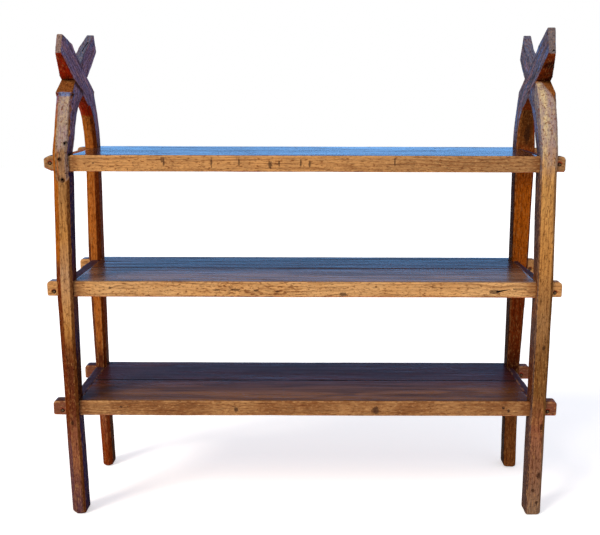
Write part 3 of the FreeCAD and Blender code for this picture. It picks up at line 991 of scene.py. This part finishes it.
def facing_group():
    """Masks of which way the old surface looks: for each side's own weathering, and for painted light and
    shade.
    """
    title = "Facing"
    if title in bpy.data.node_groups:
        return bpy.data.node_groups[title]
    tree, wires, _, out = new_group(title, (*FACING_MASKS, "Side"))
    normal = wires.split(wires.node("ShaderNodeTexCoord").outputs["Normal"])
    for mask, (axis, low, high) in FACING_MASKS.items():
        wires.feed(out[mask], wires.spread(normal[axis], low, high))
    wires.feed(out["Side"], wires.spread(wires.math("ABSOLUTE", normal["X"]), 0.80, 0.95))
    return tree


def age_group():
    """Rubbed edges, grime with painted shade in the hollows, blotches and specks."""
    title = "Age"
    if title in bpy.data.node_groups:
        return bpy.data.node_groups[title]
    tree, wires, given, out = new_group(
        title, ("Rub", "Grime", "Blotch", "Mottle", "Specks"), Vector=ORIGIN)
    place = given["Vector"]
    patchy = wires.noise(place, 60.0, 3.0, 0.6)
    rubbed = wires.times(wires.attribute("edge"), wires.spread(patchy, 0.38, 0.6))
    fine = wires.spread(wires.noise(place, 170.0), 0.64, 0.72)
    patches = wires.spread(wires.noise(place, 16.0), 0.5, 0.62)
    wires.give(
        out, Rub=wires.spread(rubbed, 0.1, 0.6),
        # grime and painted shade in the hollows
        Grime=wires.times(wires.attribute("hollow"), wires.spread(patchy, 0.65, 0.35, 0.4, 1.0)),
        Blotch=wires.noise(place, 7.0, 4.0, 0.6), Mottle=wires.noise(place, 140.0, 4.0, 0.65),
        Specks=wires.times(fine, patches))
    return tree


def knot_group():
    """A knot or a stroke of stain at a place, and how far it pushes the grain aside."""
    title = "Knot"
    if title in bpy.data.node_groups:
        return bpy.data.node_groups[title]
    tree, wires, given, out = new_group(
        title, ("Dark", "Pushed"), Vector=ORIGIN, Centre=ORIGIN, Size=(0.01, 0.01, 0.01),
        Already=0.0, Pushed=0.0, Push=0.0)
    ragged = wires.noise(given["Vector"], 220.0, 3.0, 0.6)
    away = wires.vector("SUBTRACT", given["Vector"], given["Centre"])[0]
    share = wires.vector("DIVIDE", away, given["Size"])[0]
    reach = wires.vector("LENGTH", share)["Value"]
    distance = wires.plus(reach, wires.times(wires.minus(ragged, NOISE_MIDDLE), 1.6))
    dark = wires.spread(distance, 0.55, 1.1, 1.0, 0.0)
    side = wires.math("SIGN", wires.split(share)[2])
    push = wires.times(wires.times(wires.spread(reach, 0.0, 5.0, 1.0, 0.0), side), given["Push"])
    wires.give(out, Dark=wires.math("MAXIMUM", given["Already"], dark),
               Pushed=wires.plus(given["Pushed"], push))
    return tree


def wood_material(title):
    """An empty wood material: its wiring and its shader."""
    material = bpy.data.materials.new(title)
    material.use_nodes = True
    return material, Wiring(material.node_tree), material.node_tree.nodes["Principled BSDF"]


def finish_surface(wires, shader, shade, roughness, height, depth, gloss):
    """Join colour, roughness and bump to the shader, and set its constant gloss."""
    wires.feed(shader.inputs["Base Color"], shade)
    wires.feed(shader.inputs["Roughness"], roughness)
    bump = wires.node("ShaderNodeBump")
    bump.inputs["Strength"].default_value = BUMP_STRENGTH
    bump.inputs["Distance"].default_value = depth
    wires.feed(bump.inputs["Height"], height)
    wires.feed(shader.inputs["Normal"], bump.outputs[0])
    shader.inputs["Specular IOR Level"].default_value = gloss


def hole_finish():
    title = "Old hole"
    if title in bpy.data.materials:
        return bpy.data.materials[title]
    material, wires, shader = wood_material(title)
    dust = wires.noise(wires.place(), 400.0)
    shade = wires.coats("soot", ("bark", dust, 0.4, 0.8))
    finish_surface(wires, shader, shade, roughness=0.9, height=dust, depth=0.001, gloss=0.1)
    return material


# Tones of each leg's front and of its inner side, from the foot up: height and tone. The inner sides' tones
# are painted shade, with navy as painted blue sky light.
FRONT_TONES = {
    "front_left": (
        (0.04, "raisin"), (0.18, "walnut"), (0.28, "walnut"), (0.35, "clove"), (0.50, "clove"),
        (0.58, "chestnut"), (0.65, "oak"), (0.76, "fawn"), (0.92, "oak"), (1.12, "hazel")),
    "front_right": (
        (0.03, "driftwood"), (0.30, "walnut"), (0.40, "bronze"), (0.50, "bronze"), (0.64, "hazel"),
        (0.86, "oak"), (1.08, "tan")),
    "rear_left": (
        (0.08, "brick"), (0.20, "walnut"), (0.29, "clove"), (0.41, "clove"), (0.50, "copper"),
        (1.25, "copper")),
    "rear_right": (
        (0.20, "chestnut"), (0.36, "oxblood"), (0.50, "brick"), (0.68, "brick"), (0.84, "tawny"),
        (1.00, "tawny"), (1.10, "brick"), (1.17, "umber")),
}
SIDE_SHADE_TONES = {
    "front_left": (
        (0.30, "navy"), (0.38, "oxblood"), (0.52, "oxblood"), (0.60, "navy"), (0.72, "clove"),
        (0.90, "navy")),
    "front_right": (
        (0.34, "taupe"), (0.42, "clove"), (0.50, "clove"), (0.60, "taupe"), (0.74, "chestnut"),
        (0.86, "taupe")),
    "rear_left": ((0.05, "oxblood"), (0.40, "clove"), (0.60, "brick"), (0.90, "brick"), (1.10, "clove")),
    "rear_right": ((0.10, "bark"), (1.00, "oxblood")),
}
# Tones of the outer facet high and low, of the inner facet and of the tip's end.
FACET_TONES = {
    "front_left": ("ginger", "sienna", "umber", "dusk"),
    "front_right": ("hazel", "bronze", "taupe", "dusk"),
    "rear_left": ("ginger", "clove", "brick", "slate"),
    "rear_right": ("brick", "clove", "chestnut", "flint"),
}
# Stains on the fronts of the legs: place across, height, half width and half height.
STAINS = {
    "front_left": ((-0.734, 0.313, 0.005, 0.009), (-0.716, 0.86, 0.002, 0.012)),
    "front_right": (
        (0.748, 0.300, 0.007, 0.016), (0.748, 0.138, 0.008, 0.014), (0.731, 0.087, 0.005, 0.008),
        (0.745, 0.045, 0.006, 0.007), (0.742, 0.560, 0.005, 0.012)),
    "rear_left": ((-0.722, 0.640, 0.003, 0.020),),
    "rear_right": ((0.742, 1.205, 0.012, 0.045), (0.733, 0.240, 0.008, 0.040)),
}
# Height above which the underside of each arch and arm kept its red varnish, which is deepened with painted
# warm bounce light and shade.
RED_FROM = {"front_left": 1.300, "front_right": 1.300, "rear_left": 1.250, "rear_right": 1.262}


def weathered_sky_tone(wires, along, age, end):
    """Weathered grey and pink streaks of the arms, with painted sky light in the violet and grey-blue bases
    and the blue streaks.
    """
    streaks = wires.clouds(along, (75.0, 75.0, 7.0), 3.0, 0.65, (3.0, 1.0, 2.0))
    sky_streaks = wires.clouds(along, (50.0, 50.0, 9.0), 3.0, 0.65, (5.0, 8.0, 2.0))
    base, pink_share, blue_share = ("heather", 0.9, 0.6) if end == "left" else ("dusk", 0.45, 0.95)
    return wires.coats(
        base,
        ("mauve", streaks, 0.50, 0.60, pink_share),
        ("steel", sky_streaks, 0.50, 0.60, blue_share),
        ("oxblood", streaks, 0.44, 0.34, 0.45),
        ("bark", age["Mottle"], 0.50, 0.64, 0.75))


def bare_tone(wires, along, grain, age, facing, end):
    """Pale weathered wood: grey at the inner facet, then cream, then pink on the right timber; on the left
    one, painted reflections of the sky on the ledges at the top and the foot of the worn face.
    """
    wander = wires.clouds(along, (60.0, 60.0, 14.0), 3.0, 0.6)
    pale = wires.coats("bone", ("sand", wander, 0.42, 0.60))
    if end == "right":
        across = wires.plus(wires.split(along)[0], wires.times(wander, 0.010))
        lit = wires.mix(wires.spread(wander, 0.40, 0.56, 0.25, 0.9), pale, tone_of("cream"))
        pale = wires.coats(lit, (pale, across, 0.723, 0.731), ("lichen", facing["Left"]))
    else:
        height = wires.split(wires.place())[2]
        # painted reflections of the sky: blue on the ledge at the top of the worn face, blue-grey on the one
        # at its foot
        ledge = wires.times(wires.spread(height, 1.322, 1.328), wires.spread(height, 1.340, 1.336))
        pale = wires.coats(pale, ("steel", ledge, 0.85), ("lichen", height, 1.084, 1.074, 0.8))
    return wires.coats(
        pale,
        ("cream", age["Mottle"], 0.47, 0.34, 0.45),
        ("dusk", grain["Fibre"], 0.50, 0.66, 0.5),
        ("umber", age["Mottle"], 0.53, 0.66, 0.85))


# The height at which the rear timber crosses a front one, and how it falls toward the back.
LAP_HEIGHT = 1.327
LAP_FALL = 0.527


def lap_shadow(wires):
    """Painted shadow: a dark strip on a front timber just below the rear timber that crosses it."""
    _, y, z = wires.split(wires.place())
    below = wires.minus(wires.minus(LAP_HEIGHT, wires.times(y, LAP_FALL)), z)
    return wires.times(wires.spread(below, -0.004, 0.0), wires.spread(below, 0.032, 0.014))


def timber_finish(row, end):
    key = f"{row}_{end}"
    outer_high, outer_low, chamfer, tip = FACET_TONES[key]
    material, wires, shader = wood_material(f"{row} {end} timber")
    place, along = wires.place(), wires.attribute("grain", "Vector")
    height, run = wires.split(place)[2], wires.split(along)[2]
    grain = wires.group(grain_group(), Vector=along, Ring=0.007, Wander=0.035,
                        Heart=(END_SIGN[end] * 0.70, 0.012, 0.0))
    facing = wires.group(facing_group())
    age = wires.group(age_group(), Vector=place)
    fibre, blotch, mottle, down = grain["Fibre"], age["Blotch"], age["Mottle"], facing["Down"]
    inward, outward = ("Right", "Left") if end == "left" else ("Left", "Right")
    inner_side = wires.times(facing["Side"], facing[inward])
    weathered = weathered_sky_tone(wires, along, age, end)
    low = wires.plus(height, wires.times(wires.minus(blotch, NOISE_MIDDLE), TONE_SHIFT))
    arm = wires.spread(run, 1.24, 1.34)
    below = down if row == "front" else wires.math("MAXIMUM", down, facing["Front"])

    # the facet beside the front, the inner side in painted shade and painted sky light, and the underside,
    # whose red is partly painted warm bounce light
    outer = wires.coats(
        outer_low, (FRONT_TONES[key][0][1], low, 0.32, 0.16), (outer_high, low, 0.78, 0.86))
    # the inner side: painted shade with painted blue sky light, and the arm's weathered tone higher up
    side = wires.coats(
        wires.ramp(low, SIDE_SHADE_TONES[key]),
        ("bark", fibre, 0.45, 0.62, 0.6),
        (weathered, run, 1.12, 1.22),
        ("bark", fibre, 0.45, 0.62, 0.3))
    if row == "front":
        # painted shadow of the rear timber where it crosses the front one
        side = wires.coats(side, ("oxblood", lap_shadow(wires), 0.9 if end == "left" else 0.5))
    # the undersides: red varnish with painted warm bounce light and painted shade
    red, dull = ("cherry", "sienna") if end == "left" else ("brick", "oxblood")
    under = wires.coats(red, (dull, blotch, 0.42, 0.62))
    varnished = wires.spread(low, RED_FROM[key] - RED_FADE, RED_FROM[key] + RED_FADE)

    # grain, wear, bare wood and stains
    rubbed = wires.times(age["Rub"], wires.minus(1.0, wires.math("MAXIMUM", down, arm)))
    flecks = wires.clouds(along, (260.0, 260.0, 80.0), 2.0, 0.6)
    bare = wires.attribute("bare")
    painted = wires.times(bare, wires.minus(1.0, inner_side)) if end == "left" else bare
    stained = 0.0
    for across, up, half_width, half_height in STAINS[key]:
        stained = wires.group(knot_group(), Vector=place, Already=stained, Centre=(across, 0.0, up),
                              Size=(half_width, 1.0, half_height))["Dark"]

    shade = wires.coats(
        wires.ramp(low, FRONT_TONES[key]),
        ("hazel", mottle, 0.46, 0.32, 0.22),
        (outer, facing[outward]),
        (chamfer, facing[inward], 0.85),
        (weathered, wires.times(arm, wires.minus(1.0, below))),
        # the inner side's painted shade and sky light
        (side, inner_side),
        ("chestnut", wires.times(wires.spread(run, 1.20, 1.24), facing["Slope"])),
        # grey-blue upper faces of the arms: weathered wood in painted sky light
        ("dusk", wires.times(wires.spread(run, 1.42, 1.46), facing["Slope"])),
        # red undersides with painted warm bounce light and shade
        (under, wires.times(below, varnished)),
        (tip, wires.times(wires.spread(run, 1.58, 1.60), facing["Front"])),
        ("umber", fibre, 0.45, 0.65, 0.45, DARKEN),
        ("umber", grain["Rings"], 0.4),
        ("bark", mottle, 0.52, 0.74, 0.55),
        ("honey", rubbed, 0.30),
        ("umber", flecks, 0.55, 0.66, 0.55, DARKEN),
        ("tan", flecks, 0.43, 0.32, 0.28),
        (bare_tone(wires, along, grain, age, facing, end), painted),
        # grime and painted shade in the hollows
        ("bark", age["Grime"], 0.9),
        ("bark", grain["Pores"], 0.4),
        ("soot", age["Specks"], 0.8),
        ("bark", wires.times(stained, facing["Front"]), 0.8))
    roughness = wires.plus(wires.spread(blotch, 0.3, 0.7, 0.45, 0.62), wires.times(bare, 0.25))
    finish_surface(wires, shader, shade, roughness, grain["Height"], depth=0.0012, gloss=0.004)
    return material


# The rubbed tone of the front edge, the tone under it and the tone of the tenons.
EDGE_LOOKS = {
    "top": ("honey", "amber", "hazel"),
    "middle": ("straw", "honey", "honey"),
    "bottom": ("amber", "umber", "sepia"),
}

# The tones of the rear and front planks from above, and their roughness.
TOP_LOOKS = {
    "top": ("mahogany", "mahogany", 0.16, 0.5),
    "middle": ("mahogany", "ash", 0.24, 0.36),
    "bottom": ("aubergine", "cocoa", 0.30, 0.08),
}

# Knots and strokes of stain on the front edges: distance along, height, half length, half height, push.
KNOTS = {
    "top": (
        (-0.634, 1.129, 0.004, 0.003, 0.003), (-0.423, 1.134, 0.0035, 0.016, 0.0),
        (-0.280, 1.132, 0.003, 0.018, 0.0), (-0.197, 1.132, 0.003, 0.017, 0.0),
        (-0.104, 1.126, 0.007, 0.012, 0.0), (-0.077, 1.130, 0.003, 0.013, 0.0),
        (-0.012, 1.131, 0.003, 0.014, 0.0), (0.015, 1.128, 0.004, 0.012, 0.0),
        (0.270, 1.135, 0.0028, 0.014, 0.0),
    ),
    "middle": (
        (-0.600, 0.746, 0.006, 0.004, 0.006), (-0.485, 0.722, 0.010, 0.0016, 0.0),
        (-0.270, 0.740, 0.012, 0.003, 0.008), (-0.212, 0.741, 0.016, 0.004, 0.012),
        (-0.150, 0.738, 0.010, 0.003, 0.008), (-0.085, 0.735, 0.008, 0.003, 0.006),
        (0.118, 0.727, 0.015, 0.008, 0.006), (0.585, 0.736, 0.020, 0.008, 0.010),
    ),
    "bottom": (
        (-0.582, 0.360, 0.006, 0.004, 0.003), (-0.218, 0.352, 0.008, 0.009, 0.003),
        (0.628, 0.359, 0.006, 0.006, 0.0), (0.645, 0.350, 0.006, 0.007, 0.0),
        (0.224, 0.350, 0.014, 0.016, 0.0),
    ),
}


def plank_finish(level, row):
    rubbed, under, tenon = EDGE_LOOKS[level]
    material, wires, shader = wood_material(f"{level} {row} plank")
    place = wires.place()
    x, y, z = wires.split(place)
    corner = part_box(f"{level}_shelf_{row}_plank")[0]
    dark, pushed = 0.0, 0.0
    for along, height, half_length, half_height, push in KNOTS[level] if row == "front" else ():
        knot = wires.group(knot_group(), Vector=place, Centre=(along, corner.y, height),
                           Size=(half_length, half_height * 2, half_height),
                           Already=dark, Pushed=pushed, Push=push)
        dark, pushed = knot["Dark"], knot["Pushed"]
    grain = wires.group(grain_group(), Vector=wires.join(wires.plus(z, pushed), y, x), Ring=0.0085,
                        Wander=0.05, Heart=(corner.z - 0.05, -0.12 * FACING[row], 0.0))
    facing = wires.group(facing_group())
    age = wires.group(age_group(), Vector=place)
    reach = wires.math("ABSOLUTE", x)
    flecks = wires.clouds(place, (75.0, 240.0, 240.0), 2.0, 0.6)

    worn = wires.spread(age["Blotch"], 0.36, 0.60, 0.35, 1.0)
    shade = wires.coats(under, (rubbed, worn))
    if level == "top":
        shade = wires.coats(shade, ("hazel", x, -0.2, 0.6, 0.85))
    shade = wires.coats(
        shade,
        # painted shadow and shade of the legs on the plank's ends
        ("umber", reach, 0.668, 0.700, 0.6),
        (tenon, reach, 0.735, 0.745, 0.85),
        # red undersides: painted warm bounce light
        ("cherry", facing["Down"], 0.7),
        ("umber", grain["Fibre"], 0.45, 0.66, 0.30, DARKEN),
        ("umber", grain["Rings"], 0.55),
        ("umber", age["Mottle"], 0.52, 0.74, 0.45),
        ("umber", flecks, 0.56, 0.66, 0.80))
    if level == "middle":
        figured = wires.times(wires.spread(x, -0.34, -0.28), wires.spread(x, 0.02, -0.06))
        dashes = wires.spread(wires.clouds(place, (60.0, 150.0, 150.0), 1.0), 0.56, 0.62, 0.0, 0.75)
        shade = wires.coats(shade, ("umber", wires.times(figured, dashes)))
    shade = wires.coats(
        shade,
        ("straw", flecks, 0.43, 0.32, 0.35),
        ("straw", age["Rub"], 0.3),
        # grime and painted shade in the hollows
        ("bark", age["Grime"], 0.8),
        ("bark", grain["Pores"], 0.35),
        ("bark", age["Specks"], 0.7))
    if row == "front":
        shade = wires.coats(shade, ("bark", dark, 0.75))
    roughness = wires.spread(age["Blotch"], 0.3, 0.7, 0.42, 0.54)
    finish_surface(wires, shader, shade, roughness, grain["Height"], depth=0.0008, gloss=0.12)
    return material


def shelf_top_finish(level, row):
    """Dark varnish that mirrors the sky, worn thin in streaks along the grain."""
    rear, front, dullness, gloss = TOP_LOOKS[level]
    material, wires, shader = wood_material(f"{level} {row} top")
    place = wires.place()
    x, y, z = wires.split(place)
    grain = wires.group(grain_group(), Vector=wires.join(y, z, x), Ring=0.014, Wander=0.06,
                        Heart=(0.0, -0.6, 0.0))
    age = wires.group(age_group(), Vector=place)
    streaks = wires.clouds(place, (2.0, 38.0, 38.0), 4.0, 0.6)
    shade = wires.coats(
        rear,
        (front, y, 0.03, -0.14),
        ("bark", streaks, 0.40, 0.62, 0.55),
        ("bark", grain["Rings"], 0.5),
        ("amber", age["Mottle"], 0.60, 0.75, 0.3))
    if level == "bottom":
        # painted shade of the legs on the lower shelf's top, towards its ends
        shade = wires.coats(shade, ("oxblood", wires.math("ABSOLUTE", x), 0.56, 0.70, 0.6))
    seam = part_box(f"{level}_shelf_{row}_plank")[1 if row == "front" else 0].y
    beside = wires.spread(wires.math("ABSOLUTE", wires.minus(y, seam)), 0.0035, 0.0060, 1.0, 0.0)
    shade = wires.coats(shade, ("soot", beside, 0.2 if level == "middle" else 0.9))
    roughness = wires.spread(streaks, 0.3, 0.7, dullness * 0.8, dullness * 1.3)
    finish_surface(wires, shader, shade, roughness, grain["Height"], depth=0.0002, gloss=gloss)
    return material


def rail_finish(end, level):
    """Rails in painted shade, with plum sides and tops as painted sky light, but for the one at the upper
    left, painted as lit.
    """
    lit_one = (end, level) == ("left", "top")
    title = "Bright rail" if lit_one else "Dark rail"
    if title in bpy.data.materials:
        return bpy.data.materials[title]
    material, wires, shader = wood_material(title)
    place = wires.place()
    x, y, z = wires.split(place)
    grain = wires.group(grain_group(), Vector=wires.join(x, z, y), Ring=0.006, Wander=0.04,
                        Heart=(0.72, 0.4, 0.0))
    facing = wires.group(facing_group())
    age = wires.group(age_group(), Vector=place)
    bright, dark = ("rust", "umber") if lit_one else ("clove", "plum")
    above = () if lit_one else (("plum", facing["Up"], 0.9),)
    # painted light and shade: plum on the sides and tops, oxblood underneath
    shade = wires.coats(
        bright,
        (dark, age["Blotch"], 0.35, 0.65),
        ("plum", facing["Side"], 0.85),
        *above,
        ("oxblood", facing["Down"], 0.7),
        ("bark", grain["Rings"], 0.5),
        ("umber", grain["Fibre"], 0.45, 0.66, 0.4, DARKEN),
        ("honey", age["Rub"], 0.3),
        # grime and painted shade in the hollows
        ("bark", age["Grime"], 0.8))
    finish_surface(wires, shader, shade, 0.5, grain["Height"], depth=0.0012, gloss=0.1)
    return material


def peg_finish():
    title = "Peg"
    if title in bpy.data.materials:
        return bpy.data.materials[title]
    material, wires, shader = wood_material(title)
    speck = wires.noise(wires.place(), 500.0, 3.0, 0.6)
    # darker towards the rim: painted shade of the gap round the peg
    shade = wires.coats("moss", ("umber", speck, 0.35, 0.65), ("soot", wires.attribute("rim"), 0.45, 0.85))
    finish_surface(wires, shader, shade, roughness=0.7, height=speck, depth=0.001, gloss=0.1)
    return material


# Stage

# The floor's own shade, and how much it glows where it is seen directly.
FLOOR_SHADE = (0.86, 0.86, 0.86)
FLOOR_GLOW = 0.5
# Heights on the blue panel, and the share of its full brightness at each.
SKY_SHADES = ((0.0, 1.0), (1.9, 1.0), (2.25, 0.36), (2.6, 0.18), (2.9, 0.05), (14.0, 0.01))


def seen_directly(wires):
    """1 for rays from the camera or a reflection, which see the white background."""
    path = wires.node("ShaderNodeLightPath").outputs
    reflected = wires.math("MAXIMUM", path["Is Glossy Ray"], path["Is Transmission Ray"])
    return wires.math("MAXIMUM", path["Is Camera Ray"], reflected)


def stage_sheet(name, title, width, height, spot, turn=0.0):
    """A flat sheet of the stage with an empty material."""
    bpy.ops.object.select_all(action="DESELECT")
    bpy.ops.mesh.primitive_plane_add(size=1, location=spot)
    sheet = bpy.context.active_object
    sheet.name = name
    sheet.scale = (width, height, 1)
    sheet.rotation_euler = (turn, 0, 0)
    bpy.ops.object.transform_apply(location=True, rotation=True, scale=True)
    material = bpy.data.materials.new(title)
    material.use_nodes = True
    sheet.data.materials.append(material)
    return sheet, Wiring(material.node_tree)


class RACK_OT_stage(bpy.types.Operator):
    """Set up the pale floor, the lamp, the sky, the blue panel and the camera"""

    bl_idname = "rack.stage"
    bl_label = "Stage"

    def execute(self, context):
        settings = context.scene.rack_stage
        self.floor(settings)
        self.camera(context, settings)
        self.sky(context, settings)
        bpy.ops.object.light_add(type="SUN", rotation=(settings.key_height, 0, settings.key_turn))
        key = context.active_object
        key.name = "key"
        key.data.energy = settings.key_strength
        key.data.color = settings.key_colour
        key.data.angle = settings.key_spread
        self.panel(settings)
        context.scene.view_settings.view_transform = "Standard"
        return {"FINISHED"}

    def floor(self, settings):
        width = settings.floor_width
        floor, wires = stage_sheet("floor", "Pale floor", width, width, (0, 0, 0))
        inputs = wires.tree.nodes["Principled BSDF"].inputs
        inputs["Base Color"].default_value = (*FLOOR_SHADE, 1)
        inputs["Roughness"].default_value = 1.0
        inputs["Specular IOR Level"].default_value = 0.0
        inputs["Emission Color"].default_value = (1, 1, 1, 1)
        wires.feed(inputs["Emission Strength"], wires.times(seen_directly(wires), FLOOR_GLOW))

    def camera(self, context, settings):
        bpy.ops.object.camera_add(
            location=(settings.camera_side, -settings.camera_distance, settings.camera_height),
            rotation=(math.pi / 2 - settings.camera_tilt, settings.camera_roll, 0))
        camera = context.active_object
        camera.data.lens = settings.camera_lens
        camera.data.sensor_width = settings.sensor_width
        camera.data.shift_x = settings.camera_shift
        context.scene.camera = camera

    def panel(self, settings):
        """A blue panel behind the rack, dimmer higher up, that only the varnish mirrors, like a sky."""
        top = SKY_SHADES[-1][0]
        panel, wires = stage_sheet(
            "sky panel", "Sky panel", settings.panel_width, top,
            (0, settings.panel_distance, top / 2), math.pi / 2)
        for kind in ("camera", "diffuse", "shadow", "transmission"):
            setattr(panel, f"visible_{kind}", False)
        wires.tree.nodes.remove(wires.tree.nodes["Principled BSDF"])
        height = wires.split(wires.place())[2]
        share = SKY_SHADES[0][1]
        for (low, _), (high, level) in zip(SKY_SHADES[:-1], SKY_SHADES[1:]):
            step = wires.spread(height, low, high)
            share = wires.plus(wires.times(share, wires.minus(1.0, step)), wires.times(level, step))
        glow = wires.node("ShaderNodeEmission")
        wires.feed(glow.inputs["Color"], (*settings.panel_colour, 1.0))
        wires.feed(glow.inputs["Strength"], wires.times(share, settings.panel_strength))
        wires.feed(wires.tree.nodes["Material Output"].inputs["Surface"], glow.outputs[0])

    def sky(self, context, settings):
        world = bpy.data.worlds.new("Studio")
        context.scene.world = world
        world.use_nodes = True
        wires = Wiring(world.node_tree)
        background = world.node_tree.nodes["Background"]
        white = seen_directly(wires)
        soft = tuple(level * settings.sky_strength for level in settings.sky_colour)
        wires.feed(background.inputs["Color"], wires.mix(white, soft, (1.0, 1.0, 1.0)))


# Panel and running

class RACK_PT_panel(bpy.types.Panel):
    """Buttons and settings of the rack"""

    bl_label = "Wooden rack"
    bl_space_type = "VIEW_3D"
    bl_region_type = "UI"
    bl_category = "Rack"

    def draw(self, context):
        for operator in OPERATORS:
            self.layout.operator(operator.bl_idname)
        for name, group in SETTINGS.items():
            for setting in group.__annotations__:
                self.layout.prop(getattr(context.scene, name), setting)


SETTINGS = {
    "rack_timbers": RackTimberSettings,
    "rack_shelves": RackShelfSettings,
    "rack_finish": RackFinishSettings,
    "rack_stage": RackStageSettings,
}
OPERATORS = (RACK_OT_stage, RACK_OT_timbers, RACK_OT_planks, RACK_OT_rails, RACK_OT_pegs)
CLASSES = (*SETTINGS.values(), *OPERATORS, RACK_PT_panel)


def register():
    for item in CLASSES:
        bpy.utils.register_class(item)
    for name, group in SETTINGS.items():
        setattr(bpy.types.Scene, name, bpy.props.PointerProperty(type=group))


def unregister():
    for name in SETTINGS:
        delattr(bpy.types.Scene, name)
    for item in reversed(CLASSES):
        bpy.utils.unregister_class(item)


def main():
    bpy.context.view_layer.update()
    register()
    bpy.ops.rack.stage()
    bpy.ops.rack.timbers()
    bpy.ops.rack.planks()
    bpy.ops.rack.rails()
    bpy.ops.rack.pegs()


if __name__ == "__main__":
    main()
